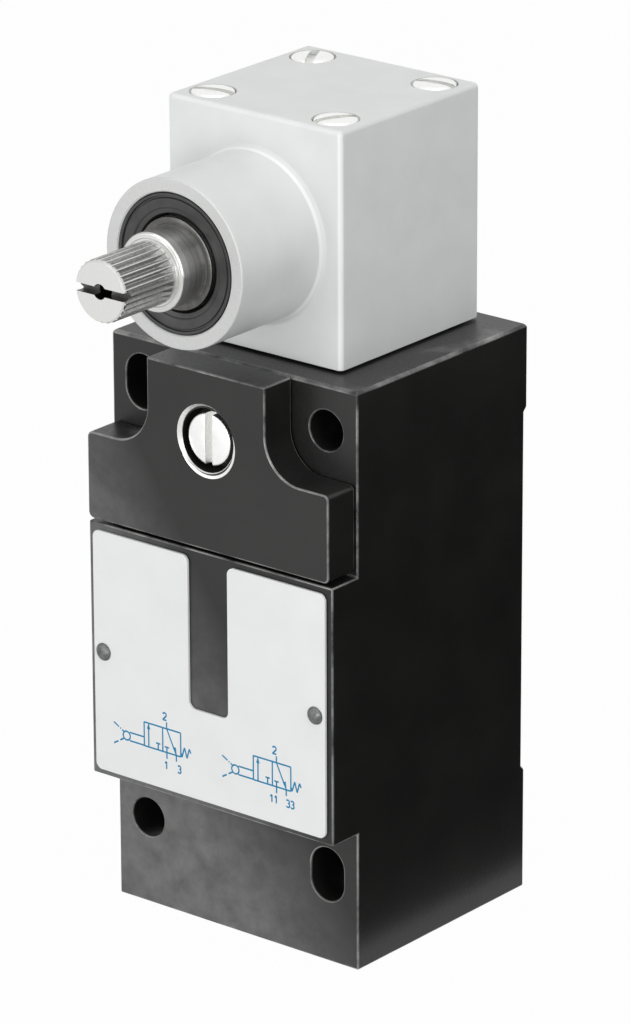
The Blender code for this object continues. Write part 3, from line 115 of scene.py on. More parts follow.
bpy.ops.object.camera_add()
camera = bpy.context.object
camera.name = "camera"
camera.data.lens = CAMERA_LENS
camera.data.sensor_width = 36
camera.data.clip_start = 0.05
camera.data.clip_end = 20
camera.rotation_mode = "QUATERNION"
camera.rotation_quaternion = Matrix((right, up, back)).transposed().to_quaternion()
camera.location = AIM + (right * AIM_SHIFT[0] + up * AIM_SHIFT[1] + back * CAMERA_DISTANCE) * MM
bpy.context.scene.camera = camera
print("camera at", [round(value / MM) for value in camera.location], "mm")

# %% [markdown]
# ## Materials: how one is put together
#
# A material is a small chain of nodes. One function adds a node with its settings and its inputs, where an
# input is either a number or another node's output. Colours are written as the hex values that a picture
# editor shows, and one function turns them into the linear light that Blender works in.
#
# A pattern reads Object coordinates, which are metres on the piece itself, so that it has a real size:
# grains of half a millimetre need a scale of 2000.


# %% Helpers for materials
def linear(hex_colour):
    """The linear light of an sRGB colour such as #c8cbca, with full opacity."""
    values = [int(hex_colour[i : i + 2], 16) / 255 for i in (1, 3, 5)]
    light = [v / 12.92 if v <= 0.04045 else ((v + 0.055) / 1.055) ** 2.4 for v in values]
    return (*light, 1.0)


def per_mm(size):
    """The scale at which a noise pattern has grains of a size in millimetres."""
    return 1 / (size * MM)


def socket_of(sockets, name):
    """A socket by its number, or by its name among those in use, as some nodes hold a name twice."""
    if isinstance(name, int):
        return sockets[name]
    return [socket for socket in sockets if socket.name == name and socket.enabled][0]


def set_inputs(owner, node, inputs):
    """Gives each input its number or colour, or joins it to another node's output."""
    for name, value in inputs.items():
        socket = socket_of(node.inputs, name)
        if isinstance(value, bpy.types.NodeSocket):
            owner.node_tree.links.new(value, socket)
        else:
            socket.default_value = value


def add_node(owner, kind, output, inputs, **settings):
    """Adds a node to a material or a world, sets it up and fills its inputs, and returns one output."""
    node = owner.node_tree.nodes.new(kind)
    for name, value in settings.items():
        setattr(node, name, value)
    set_inputs(owner, node, inputs)
    return socket_of(node.outputs, output)


def new_material(name):
    """A new material, with the Principled shader that it comes with."""
    material = bpy.data.materials.new(name)
    material.use_nodes = True
    return material, material.node_tree.nodes["Principled BSDF"]


# %% [markdown]
# ## The two paints
#
# The body is a die casting with a black satin enamel, sprayed and baked. Enamel isn't quite flat: it keeps a
# faint orange-peel waviness under a millimetre across, with finer grit in it, and that breaks up its
# highlights. Towards the foot of its front it is painted paler and blotchy, partly as dust settled in the
# grain and partly as painted sheen where the front catches the light. A direction across the piece, pointing
# down and to the front, says how much of that shows on a face that looks ahead. The faces that look up get
# pale patches painted on them, partly scuffs from handling and partly painted reflection. Which way a face
# looks is its normal, so the two are told apart by that.
#
# On the sharp edges the enamel has rubbed thin, and the edges also get a painted highlight. A material of
# its own for the narrow bevelled edges shows both, where long patches of noise decide between paint and a
# pale grey that is partly the metal under it and partly painted highlight.
#
# The head has a light silver-grey enamel, which is smoother. Its colour varies by only a few per cent. The
# upright edges and the foot of the boss get a paler batch of it, as a painted highlight where they catch the
# light.


# %% Make the paints
DUST_AND_SHEEN_DIRECTION = (-0.6, -1.0, -0.4)


def make_black_enamel():
    material, shader = new_material("black_satin_enamel")
    place = add_node(material, "ShaderNodeTexCoord", "Object", {})
    cloud = add_node(
        material, "ShaderNodeTexNoise", "Fac", {"Vector": place, "Scale": per_mm(9), "Detail": 5.0}
    )
    mottling = {"Vector": place, "Scale": per_mm(3), "Detail": 8.0, "Roughness": 0.6}
    blotch = add_node(material, "ShaderNodeTexNoise", "Fac", mottling)
    grit = add_node(
        material, "ShaderNodeTexNoise", "Fac", {"Vector": place, "Scale": per_mm(0.35), "Detail": 4.0}
    )
    peel = add_node(
        material, "ShaderNodeTexNoise", "Fac", {"Vector": place, "Scale": per_mm(0.6), "Detail": 5.0}
    )
    forward = add_node(
        material, "ShaderNodeVectorMath", "Value", {0: place, 1: DUST_AND_SHEEN_DIRECTION}, operation="DOT_PRODUCT"
    )
    # dust and painted sheen: the foot of faces that look ahead is painted paler, partly as dust and partly
    # as the sheen the front catches
    dust_and_sheen = add_node(
        material, "ShaderNodeMapRange", "Result", {"Value": forward, "From Min": 3 * MM, "From Max": 16 * MM}
    )
    facing = add_node(material, "ShaderNodeTexCoord", "Normal", {})
    upward = add_node(
        material, "ShaderNodeVectorMath", "Value", {0: facing, 1: (0, 0, 1)}, operation="DOT_PRODUCT"
    )
    # scuffs and painted reflection: faces that look up get pale patches, partly scuffs and partly painted
    # reflection
    worn_and_lit_patches = {"Value": cloud, "From Min": 0.58, "From Max": 0.74}
    scuffed_and_reflecting = add_node(material, "ShaderNodeMapRange", "Result", worn_and_lit_patches)
    scuff_and_reflection = add_node(material, "ShaderNodeMath", "Value", {0: upward, 1: scuffed_and_reflecting}, operation="MULTIPLY")
    ahead = add_node(
        material, "ShaderNodeVectorMath", "Value", {0: facing, 1: (0, -1, 0)}, operation="DOT_PRODUCT"
    )
    front_dust_and_sheen = add_node(material, "ShaderNodeMath", "Value", {0: dust_and_sheen, 1: ahead}, operation="MULTIPLY")
    share = add_node(material, "ShaderNodeMath", "Value", {0: scuff_and_reflection, 1: front_dust_and_sheen}, operation="MAXIMUM")
    clean = {"Factor": cloud, "A": linear("#0e0f0e"), "B": linear("#222221")}
    dusty_and_lit = {"Factor": blotch, "A": linear("#2b2c2b"), "B": linear("#828382")}
    clean_colour = add_node(material, "ShaderNodeMix", "Result", clean, data_type="RGBA")
    dust_and_sheen_colour = add_node(material, "ShaderNodeMix", "Result", dusty_and_lit, data_type="RGBA")
    both = {"Factor": share, "A": clean_colour, "B": dust_and_sheen_colour}
    colour = add_node(material, "ShaderNodeMix", "Result", both, data_type="RGBA")
    gloss = add_node(material, "ShaderNodeMix", "Result", {"Factor": grit, "A": 0.24, "B": 0.5})
    normal = add_node(material, "ShaderNodeBump", "Normal", {"Height": peel, "Distance": 0.02 * MM})
    surface = {"Base Color": colour, "Roughness": gloss, "Normal": normal}
    surface |= {"IOR": 1.5, "Specular IOR Level": 0.38}
    set_inputs(material, shader, surface)
    return material


def make_worn_and_highlit_edge():
    material, shader = new_material("worn_enamel_edge_and_painted_highlight")
    place = add_node(material, "ShaderNodeTexCoord", "Object", {})
    worn_and_lit_patches = {"Vector": place, "Scale": per_mm(6), "Detail": 9.0, "Roughness": 0.65}
    patch = add_node(material, "ShaderNodeTexNoise", "Fac", worn_and_lit_patches)
    rubbed_and_highlit = add_node(
        material, "ShaderNodeMapRange", "Result", {"Value": patch, "From Min": 0.4, "From Max": 0.7}
    )
    # the pale grey on the edges is partly bare metal where the paint rubbed off and partly painted highlight
    mix = {"Factor": rubbed_and_highlit, "A": linear("#2a2a2a"), "B": linear("#9b9c9a")}
    colour = add_node(material, "ShaderNodeMix", "Result", mix, data_type="RGBA")
    metal = add_node(material, "ShaderNodeMix", "Result", {"Factor": rubbed_and_highlit, "A": 0.0, "B": 0.5})
    surface = {"Base Color": colour, "Metallic": metal, "Roughness": 0.32, "IOR": 1.5}
    set_inputs(material, shader, surface)
    return material


def make_grey_enamel(name, dark, light):
    material, shader = new_material(name)
    place = add_node(material, "ShaderNodeTexCoord", "Object", {})
    cloud = add_node(
        material, "ShaderNodeTexNoise", "Fac", {"Vector": place, "Scale": per_mm(5), "Detail": 3.0}
    )
    grit = add_node(
        material, "ShaderNodeTexNoise", "Fac", {"Vector": place, "Scale": per_mm(0.3), "Detail": 4.0}
    )
    peel = add_node(
        material, "ShaderNodeTexNoise", "Fac", {"Vector": place, "Scale": per_mm(0.9), "Detail": 4.0}
    )
    mix = {"Factor": cloud, "A": linear(dark), "B": linear(light)}
    colour = add_node(material, "ShaderNodeMix", "Result", mix, data_type="RGBA")
    gloss = add_node(material, "ShaderNodeMix", "Result", {"Factor": grit, "A": 0.3, "B": 0.48})
    normal = add_node(material, "ShaderNodeBump", "Normal", {"Height": peel, "Distance": 0.012 * MM})
    set_inputs(material, shader, {"Base Color": colour, "Roughness": gloss, "Normal": normal, "IOR": 1.5})
    return material


black_enamel = make_black_enamel()
worn_and_highlit_edge = make_worn_and_highlit_edge()
grey_enamel = make_grey_enamel("light_grey_enamel", "#d3d5d4", "#e0e2e1")
# painted highlight: a paler batch of the grey enamel for the head's upright corners and the foot of its boss
painted_highlight_enamel = make_grey_enamel("light_grey_enamel_painted_highlight", "#e4e6e5", "#edefee")

# %% [markdown]
# ## The bare metals
#
# Metal takes its look from its roughness and from the marks of its making. One function makes the metals
# with a fine grain and no direction, and their colours and grains tell them apart:
#
# - the casting's aluminium where a cutter faced it, pale, with the short scratches of the cutter;
# - zinc plate on the screws, nearly white, with the faint crystals that plating leaves;
# - the shaft's rolled teeth and sawn end, bright but not polished, with painted shade, a darker steel, in
#   the flanks and roots of its teeth, in its slot and centre hole, and on the step behind its collar;
# - the rivets' drawn aluminium, dull and grey from handling;
# - sintered bronze in the bushes, matt and porous, and ground and drawn steel for the parts inside.
#
# A turned part has fine rings round its axis instead, from the tip of the lathe tool. They are bands across
# the sum of two distances, along the axis and out from it, so that they run round the barrel and round the
# faces alike. Real rings are a few hundredths of a millimetre apart, too fine to show, so these are coarser.
# The fine ones still spread a highlight across themselves, along the axis, which gives turned steel its long
# bright bands: the shader's anisotropy does that, with a tangent that runs round the axis.


# %% Make the bare metals
SHAFT_HEIGHT = 93.5


def make_grained_metal(name, dark, light, roughness, size=0.4, depth=0.01, metallic=1.0):
    material, shader = new_material(name)
    place = add_node(material, "ShaderNodeTexCoord", "Object", {})
    speck = add_node(
        material, "ShaderNodeTexNoise", "Fac", {"Vector": place, "Scale": per_mm(size), "Detail": 5.0}
    )
    mix = {"Factor": speck, "A": linear(dark), "B": linear(light)}
    colour = add_node(material, "ShaderNodeMix", "Result", mix, data_type="RGBA")
    gloss = add_node(
        material, "ShaderNodeMix", "Result", {"Factor": speck, "A": roughness * 1.4, "B": roughness * 0.6}
    )
    normal = add_node(material, "ShaderNodeBump", "Normal", {"Height": speck, "Distance": depth * MM})
    set_inputs(
        material,
        shader,
        {"Base Color": colour, "Metallic": metallic, "Roughness": gloss, "Normal": normal},
    )
    return material


def make_turned_metal(name, dark, light, roughness):
    material, shader = new_material(name)
    place = add_node(material, "ShaderNodeTexCoord", "Object", {})
    centred = add_node(
        material, "ShaderNodeMapping", "Vector", {"Vector": place, "Location": (0, 0, -SHAFT_HEIGHT * MM)}
    )
    along = add_node(
        material, "ShaderNodeVectorMath", "Value", {0: centred, 1: (0, 1, 0)}, operation="DOT_PRODUCT"
    )
    flat = add_node(
        material, "ShaderNodeVectorMath", "Vector", {0: centred, 1: (1, 0, 1)}, operation="MULTIPLY"
    )
    radius = add_node(material, "ShaderNodeVectorMath", "Value", {0: flat}, operation="LENGTH")
    line = add_node(material, "ShaderNodeMath", "Value", {0: radius, 1: along}, operation="ADD")
    rings = add_node(
        material,
        "ShaderNodeTexNoise",
        "Fac",
        {"W": line, "Scale": per_mm(0.3), "Detail": 4.0},
        noise_dimensions="1D",
    )
    mix = {"Factor": rings, "A": linear(dark), "B": linear(light)}
    colour = add_node(material, "ShaderNodeMix", "Result", mix, data_type="RGBA")
    normal = add_node(material, "ShaderNodeBump", "Normal", {"Height": rings, "Distance": 0.004 * MM})
    around = add_node(material, "ShaderNodeTangent", "Tangent", {}, direction_type="RADIAL", axis="Y")
    surface = {"Base Color": colour, "Metallic": 1.0, "Roughness": roughness, "Normal": normal}
    surface |= {"Tangent": around, "Anisotropic": 0.85, "Anisotropic Rotation": 0.25}
    set_inputs(material, shader, surface)
    return material


machined_casting = make_grained_metal("faced_cast_aluminium", "#cfcfcd", "#fbfbf9", 0.34, 0.25, 0.006)
cast_rim = make_grained_metal(
    "faced_rim_of_the_boss", "#b7b8b7", "#d0d1d0", 0.45, 0.3, 0.003, metallic=0.25
)
zinc = make_grained_metal("bright_zinc_plate", "#e3e3e1", "#fbfbf9", 0.32, 0.5, 0.008, metallic=0.9)
rolled_steel = make_grained_metal("rolled_toothed_steel", "#c3c3c1", "#dcdcda", 0.36, 0.5, 0.002)
# painted shade: darker steel for the teeth's flanks and roots, the slot, the centre hole and the step behind
# the collar
shaded_tooth_roots = make_grained_metal("tooth_roots_with_painted_shade", "#696968", "#c3c3c1", 0.38, 0.35, 0.01)
painted_shade_steel = make_grained_metal("steel_with_painted_shade", "#3c3c3b", "#747371", 0.3, 0.8, 0.004)
rivet_aluminium = make_grained_metal("drawn_rivet_aluminium", "#2a2b2b", "#8a8b8b", 0.5, 0.5, 0.03)
bronze = make_grained_metal("sintered_bronze", "#7a5634", "#b48653", 0.5)
hardened_steel = make_grained_metal("hardened_ground_steel", "#6e6f72", "#a4a5a8", 0.28)
spring_steel = make_grained_metal("drawn_spring_steel", "#74757a", "#b3b4b8", 0.3, 0.25)
polished_steel = make_turned_metal("turned_polished_steel", "#9a9a99", "#ececea", 0.25)
brass = make_turned_metal("turned_brass", "#a98a4e", "#d8b877", 0.4)

# %% [markdown]
# ## Rubber, the printed plate and its ink
#
# The seal is moulded nitrile rubber: smooth and almost black, with a dull bloom in places. The plate is thin
# aluminium under a white print, very slightly uneven. Its drawing is screen-printed in a greenish blue ink,
# matt, a little thicker in some places than in others.


# %% Make the rubber, the plate's print and the ink
def make_rubber():
    material, shader = new_material("moulded_nitrile_rubber")
    place = add_node(material, "ShaderNodeTexCoord", "Object", {})
    bloom = add_node(
        material, "ShaderNodeTexNoise", "Fac", {"Vector": place, "Scale": per_mm(1.6), "Detail": 5.0}
    )
    skin = add_node(
        material, "ShaderNodeTexNoise", "Fac", {"Vector": place, "Scale": per_mm(0.25), "Detail": 4.0}
    )
    mix = {"Factor": bloom, "A": linear("#101010"), "B": linear("#3e3e3e")}
    colour = add_node(material, "ShaderNodeMix", "Result", mix, data_type="RGBA")
    gloss = add_node(material, "ShaderNodeMix", "Result", {"Factor": bloom, "A": 0.2, "B": 0.5})
    normal = add_node(material, "ShaderNodeBump", "Normal", {"Height": skin, "Distance": 0.012 * MM})
    set_inputs(
        material, shader, {"Base Color": colour, "Roughness": gloss, "Normal": normal, "IOR": 1.52}
    )
    return material


def make_printed_plate():
    material, shader = new_material("white_printed_aluminium")
    place = add_node(material, "ShaderNodeTexCoord", "Object", {})
    cloud = add_node(
        material, "ShaderNodeTexNoise", "Fac", {"Vector": place, "Scale": per_mm(6), "Detail": 3.0}
    )
    grain = add_node(
        material, "ShaderNodeTexNoise", "Fac", {"Vector": place, "Scale": per_mm(0.5), "Detail": 3.0}
    )
    mix = {"Factor": cloud, "A": linear("#dfe0e0"), "B": linear("#e8e9e9")}
    colour = add_node(material, "ShaderNodeMix", "Result", mix, data_type="RGBA")
    normal = add_node(material, "ShaderNodeBump", "Normal", {"Height": grain, "Distance": 0.004 * MM})
    surface = {"Base Color": colour, "Roughness": 0.35, "Normal": normal}
    surface |= {"IOR": 1.48, "Specular IOR Level": 0.4}
    set_inputs(material, shader, surface)
    return material


def make_blue_ink():
    material, shader = new_material("blue_screen_ink")
    place = add_node(material, "ShaderNodeTexCoord", "Object", {})
    cover = add_node(
        material, "ShaderNodeTexNoise", "Fac", {"Vector": place, "Scale": per_mm(0.5), "Detail": 3.0}
    )
    mix = {"Factor": cover, "A": linear("#006a92"), "B": linear("#008ab6")}
    colour = add_node(material, "ShaderNodeMix", "Result", mix, data_type="RGBA")
    set_inputs(
        material,
        shader,
        {"Base Color": colour, "Roughness": 0.5, "IOR": 1.48, "Specular IOR Level": 0.2},
    )
    return material


rubber = make_rubber()
printed_plate = make_printed_plate()
blue_ink = make_blue_ink()
print("materials", len(bpy.data.materials))

# %% [markdown]
# ## Modelling helpers
#
# Each of these does what a hand does in the viewport. A piece is made active, its faces or edges are picked
# by where they are, and an operator works on what is picked. Everything is deselected first, because the
# CAD pieces are still selected after loading, and an operator takes all that is selected.


# %% Helpers for picking
NEAR = 0.01  # how close a point has to be to a plane to count as lying on it, in millimetres


def work_on(piece):
    """Makes one piece the only one that is selected and active."""
    bpy.ops.object.select_all(action="DESELECT")
    piece.select_set(True)
    bpy.context.view_layer.objects.active = piece


def edit(piece):
    work_on(piece)
    bpy.ops.object.mode_set(mode="EDIT")


def leave_edit():
    bpy.ops.object.mode_set(mode="OBJECT")


def pick(kind, test):
    """In edit mode, picks only the faces, edges or points that pass a test."""
    bpy.ops.mesh.select_mode(type=kind)
    bpy.ops.mesh.select_all(action="DESELECT")
    mesh = bmesh.from_edit_mesh(bpy.context.edit_object.data)
    for part in {"FACE": mesh.faces, "EDGE": mesh.edges, "VERT": mesh.verts}[kind]:
        if test(part):
            part.select_set(True)
    bmesh.update_edit_mesh(bpy.context.edit_object.data)


def pick_faces(test):
    """Picks the faces whose middle, in millimetres, and outward direction pass a test."""
    pick("FACE", lambda face: test(face.calc_center_median() / MM, face.normal))


def pick_points(test):
    """Picks the points whose place in millimetres passes a test."""
    pick("VERT", lambda vertex: test(vertex.co / MM))


def pick_edges(test, angle=30):
    """Picks the edges sharper than an angle, both of whose ends pass a test."""

    def passes(edge):
        sharp = edge.calc_face_angle(0) > math.radians(angle)
        return sharp and all(test(vertex.co / MM) for vertex in edge.verts)

    pick("EDGE", passes)


def pick_upright_edges():
    pick("EDGE", lambda edge: abs(edge.verts[0].co.z - edge.verts[1].co.z) > MM)


def bevel_picked(width, segments, material=-1):
    bpy.ops.mesh.bevel(
        offset=width * MM, segments=segments, affect="EDGES", clamp_overlap=True, material=material
    )


def extrude_picked(x, y, z):
    bpy.ops.mesh.extrude_region_move(TRANSFORM_OT_translate={"value": mm(x, y, z)})


def score(place, direction):
    """In edit mode, scores a line round the whole piece where a plane meets it."""
    bpy.ops.mesh.select_all(action="SELECT")
    bpy.ops.mesh.bisect(plane_co=mm(*place), plane_no=direction)


def paint_picked(piece, slot):
    """Gives the picked faces one of the piece's own materials."""
    piece.active_material_index = slot
    bpy.ops.object.material_slot_assign()


# %% [markdown]
# ## Three ways to start a shape
#
# Nearly everything here is a block, a turning or a flat outline with a thickness, as it would be on a
# milling machine, on a lathe or from a punch:
#
# - a block starts as a cube, added at its size and place;
# - a turning starts as one point, which is drawn out into a half section and then spun once round its axis;
# - an outline starts as one point too, is drawn round and closed, and is then given its thickness.
#
# Holes are cut with a second shape and a Boolean modifier, which is applied at once. The second shape
# always sticks out a little, because two faces in one plane can't be cut cleanly.


# %% Helpers for starting a shape
def named(piece, name, *materials):
    piece.name = name
    piece.data.name = name
    for material in materials:
        piece.data.materials.append(material)
    return piece


def settle():
    """Moves the active piece's place into its mesh, so that its object is at the origin."""
    bpy.ops.object.transform_apply(location=True, rotation=True, scale=True)


def start_block(low, high):
    bpy.ops.object.select_all(action="DESELECT")
    size = Vector(high) - Vector(low)
    middle = (Vector(high) + Vector(low)) / 2
    bpy.ops.mesh.primitive_cube_add(size=1, location=middle * MM, scale=size * MM)
    settle()
    return bpy.context.object


def start_rod(radius, start, end, sides=48):
    """A round bar between two places in millimetres."""
    bpy.ops.object.select_all(action="DESELECT")
    start, end = Vector(start), Vector(end)
    way = end - start
    bpy.ops.mesh.primitive_cylinder_add(
        vertices=sides,
        radius=radius * MM,
        depth=way.length * MM,
        location=(start + end) / 2 * MM,
        rotation=way.to_track_quat("Z", "Y").to_euler(),
    )
    settle()
    return bpy.context.object


def draw_line(points):
    """Draws a line of points in millimetres out of a single point, and stays in edit mode."""
    bpy.ops.object.select_all(action="DESELECT")
    bpy.ops.mesh.primitive_plane_add(size=MM, location=mm(*points[0]))
    settle()
    bpy.ops.object.mode_set(mode="EDIT")
    bpy.ops.mesh.select_mode(type="VERT")
    bpy.ops.mesh.merge(type="CENTER")
    for last, point in zip(points, points[1:]):
        extrude_picked(*(Vector(point) - Vector(last)))


def close_mesh(gap=0.0005):
    """Merges points that fell on each other and turns all faces outwards."""
    bpy.ops.mesh.select_all(action="SELECT")
    bpy.ops.mesh.remove_doubles(threshold=gap * MM)
    bpy.ops.mesh.normals_make_consistent(inside=False)


def turn_on_lathe(section, axis, centre=(0, 0, 0), steps=96):
    """Spins a half section of (radius, distance along the axis) once round Y or Z through a centre."""
    outward = Vector((1, 0, 0))
    along = Vector({"Y": (0, 1, 0), "Z": (0, 0, 1)}[axis])
    points = [Vector(centre) + outward * radius + along * distance for radius, distance in section]
    draw_line(points)
    bpy.ops.mesh.select_all(action="SELECT")
    bpy.ops.mesh.spin(steps=steps, angle=math.tau, center=mm(*centre), axis=along)
    close_mesh()
    leave_edit()
    return bpy.context.object


def punch_outline(points, thickness):
    """Draws a closed outline and gives it a thickness, which is a step in millimetres."""
    draw_line([*points, points[0]])
    bpy.ops.mesh.select_all(action="SELECT")
    bpy.ops.mesh.remove_doubles(threshold=0.0005 * MM)
    bpy.ops.mesh.edge_face_add()
    extrude_picked(*thickness)
    close_mesh()
    leave_edit()
    return bpy.context.object


def arc(x, z, radius, start, end, steps):
    """Points of an arc in a plane, with its angles in degrees."""
    angles = [math.radians(start + (end - start) * i / steps) for i in range(steps + 1)]
    return [(x + radius * math.cos(angle), z + radius * math.sin(angle)) for angle in angles]


# %% Helpers for cutting and finishing
def boolean(piece, tool, operation):
    modifier = piece.modifiers.new(operation.lower(), "BOOLEAN")
    modifier.operation = operation
    modifier.solver = "EXACT"
    modifier.object = tool
    work_on(piece)
    bpy.ops.object.modifier_apply(modifier=modifier.name)
    bpy.data.objects.remove(tool)


def cut(piece, tool):
    boolean(piece, tool, "DIFFERENCE")


def smooth(piece, angle=35):
    """Smooth shading across soft edges; weighted normals keep the flat faces flat next to their bevels."""
    work_on(piece)
    bpy.ops.object.shade_smooth_by_angle(angle=math.radians(angle))
    modifier = piece.modifiers.new("keep_flats_flat", "WEIGHTED_NORMAL")
    modifier.keep_sharp = True
    bpy.ops.object.modifier_apply(modifier=modifier.name)


def soften(piece, width, segments=2, angle=40):
    """Breaks every sharp edge of a finished piece with a small Bevel modifier."""
    modifier = piece.modifiers.new("soften", "BEVEL")
    modifier.width = width * MM
    modifier.segments = segments
    modifier.limit_method = "ANGLE"
    modifier.angle_limit = math.radians(angle)
    work_on(piece)
    bpy.ops.object.modifier_apply(modifier=modifier.name)


def put_copy(pattern, name, place, turn=(0, 0, 0)):
    """A copy of a piece with its own mesh, turned and moved to its place."""
    piece = pattern.copy()
    piece.data = pattern.data.copy()
    piece.name = name
    piece.data.name = name
    bpy.context.scene.collection.objects.link(piece)
    piece.rotation_euler = turn
    piece.location = mm(*place)
    work_on(piece)
    settle()
    return piece


def hand_over(piece, body, slot, *nodes):
    """Lets a finished piece ride on its body in place of its CAD nodes; its slot argument is not used."""
    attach(piece, body)
    if nodes:
        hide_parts(*nodes)
    print(piece.name, len(piece.data.polygons), "faces")


# %% [markdown]
# ## The body
#
# The body is a block, 40 mm wide and 78 mm high. Two pads at the back, 0.6 mm proud, are what it stands on
# against a machine, and a thicker part on the front carries the plate. It could be put together from
# separate boxes, but then faces would lie inside each other. Scoring the block and drawing out the faces
# between the scored lines keeps one clean skin.

# %% The body: block, pads and the thick front
BODY_FRONT = -17.35
BODY_REAR = 17.35
BODY_TOP = 78.0
BODY_HALF = 20.0
PAD_PROUD = 0.6
LOWER_PAD_TOP = 16.6
UPPER_PAD_BOTTOM = 66.8
BLOCK_BOTTOM = 18.8
BLOCK_TOP = 53.6
BLOCK_FRONT = BODY_FRONT - 5.0
PAINT_EDGE = 0.22
TOP_EDGE = 0.45



def on_a_pad(place, way):
    """True for the two strips of the back that stand proud."""
    between = LOWER_PAD_TOP + PAD_PROUD < place.z < UPPER_PAD_BOTTOM - PAD_PROUD
    return way.y > 0.9 and not between


body = start_block((-BODY_HALF, BODY_FRONT, 0), (BODY_HALF, BODY_REAR - PAD_PROUD, BODY_TOP))
named(body, "body_casting", black_enamel, worn_and_highlit_edge)
edit(body)
for height in (LOWER_PAD_TOP + PAD_PROUD, UPPER_PAD_BOTTOM - PAD_PROUD, BLOCK_BOTTOM, BLOCK_TOP):
    score((0, 0, height), (0, 0, 1))
pick_faces(on_a_pad)
extrude_picked(0, PAD_PROUD, 0)
for height, step in ((LOWER_PAD_TOP + PAD_PROUD, -PAD_PROUD), (UPPER_PAD_BOTTOM - PAD_PROUD, PAD_PROUD)):
    pick_points(lambda place: place.y > BODY_REAR - NEAR and abs(place.z - height) < NEAR)
    bpy.ops.transform.translate(value=mm(0, 0, step))
pick_faces(lambda place, way: way.y < -0.9 and BLOCK_BOTTOM < place.z < BLOCK_TOP)
extrude_picked(0, BLOCK_FRONT - BODY_FRONT, 0)
close_mesh()
bpy.ops.mesh.dissolve_limited(angle_limit=math.radians(1))
pick_edges(lambda place: place.z > BODY_TOP - NEAR)
bevel_picked(TOP_EDGE, 4, material=1)
pick_edges(lambda place: True)
bevel_picked(PAINT_EDGE, 3, material=1)
leave_edit()
print("body block", [round(side / MM, 2) for side in body.dimensions])

# %% [markdown]
# ## The body's holes
#
# Two mounting holes are round, and the two on the other diagonal are slots, so that the body can be lined
# up before it is tightened. Their mouths are broken by a fifth of a millimetre and get the edge material, so
# a paler ring shows, partly rubbed paint and partly painted highlight. The big bore from the top, the ports
# from below and the drillings between them are cut too, because the valve's inner pieces live in them.

# %% The body: mounting holes and slots
HOLE_RADIUS = 2.65
SLOT_EXTRA = 1.0
HOLE_EDGE = 0.22
HOLE_X = 15.0
LOWER_HOLE = 12.0
UPPER_HOLE = 72.0
MOUNTING_HOLES = {
    "upper right": (HOLE_X, UPPER_HOLE, 0.0),
    "lower left": (-HOLE_X, LOWER_HOLE, 0.0),
    "upper left": (-HOLE_X, UPPER_HOLE, SLOT_EXTRA),
    "lower right": (HOLE_X, LOWER_HOLE, SLOT_EXTRA),
}

for x, z, extra in MOUNTING_HOLES.values():
    outline = arc(x, z + extra, HOLE_RADIUS, 0, 180, 20) + arc(x, z - extra, HOLE_RADIUS, 180, 360, 20)
    if extra == 0:
        outline = arc(x, z, HOLE_RADIUS, 0, 360, 40)[:-1]
    outline = [(px, BODY_FRONT - 2, pz) for px, pz in outline]
    cut(body, punch_outline(outline, (0, BODY_REAR - BODY_FRONT + 4, 0)))


def at_a_hole(place):
    """True on the rim of a mounting hole, on the front or the back."""
    on_face = abs(place.y - BODY_FRONT) < 2 * NEAR or abs(place.y - BODY_REAR) < 2 * NEAR
    for x, z, extra in MOUNTING_HOLES.values():
        if on_face and math.hypot(place.x - x, place.z - z) < HOLE_RADIUS + extra + 0.1:
            return True
    return False


edit(body)
pick_edges(at_a_hole)
bevel_picked(HOLE_EDGE, 2, material=1)
leave_edit()

# %% The body: valve bore, ports and drillings
HEAD_MIDDLE_Y = 0.95
VALVE_BORE = 7.0
VALVE_BORE_BOTTOM = 45.8
SPRING_POCKET = 3.6
SPRING_POCKET_BOTTOM = 32.5
PORT_RADIUS = 4.3
PORT_DEPTH = 8.0
SUPPLY_CHANNEL_Y = 11.2
CHANNEL_RADIUS = 1.25
CROSS_HOLE_RADIUS = 1.5
PORTS = {"supply": (0.0, 8.0), "outlet": (-7.5, -8.85), "exhaust": (7.5, -8.85)}
WINDOWS = {"supply": 50.8, "outlet": 56.8, "exhaust": 62.8}
HEAD_SCREW_OFFSET = 9.9
HEAD_SCREWS = {
    "front_left": (-HEAD_SCREW_OFFSET, HEAD_MIDDLE_Y - HEAD_SCREW_OFFSET),
    "front_right": (HEAD_SCREW_OFFSET, HEAD_MIDDLE_Y - HEAD_SCREW_OFFSET),
    "rear_left": (-HEAD_SCREW_OFFSET, HEAD_MIDDLE_Y + HEAD_SCREW_OFFSET),
    "rear_right": (HEAD_SCREW_OFFSET, HEAD_MIDDLE_Y + HEAD_SCREW_OFFSET),
}
HEAD_SCREW_HOLE = 1.6
HEAD_SCREW_DEPTH = 7.5
COVER_SCREW_Z = 68.8
COVER_SCREW_HOLE = 2.1
COVER_SCREW_DEPTH = 7
RIVET_X = 17.5
RIVET_Z = 36.2
RIVET_HOLE = 0.8

bore = [
    (0, BODY_TOP + 1),
    (VALVE_BORE, BODY_TOP + 1),
    (VALVE_BORE, VALVE_BORE_BOTTOM),
    (SPRING_POCKET, VALVE_BORE_BOTTOM),
    (SPRING_POCKET, SPRING_POCKET_BOTTOM),
    (0, SPRING_POCKET_BOTTOM),
]
cut(body, turn_on_lathe(bore, "Z", (0, HEAD_MIDDLE_Y, 0)))

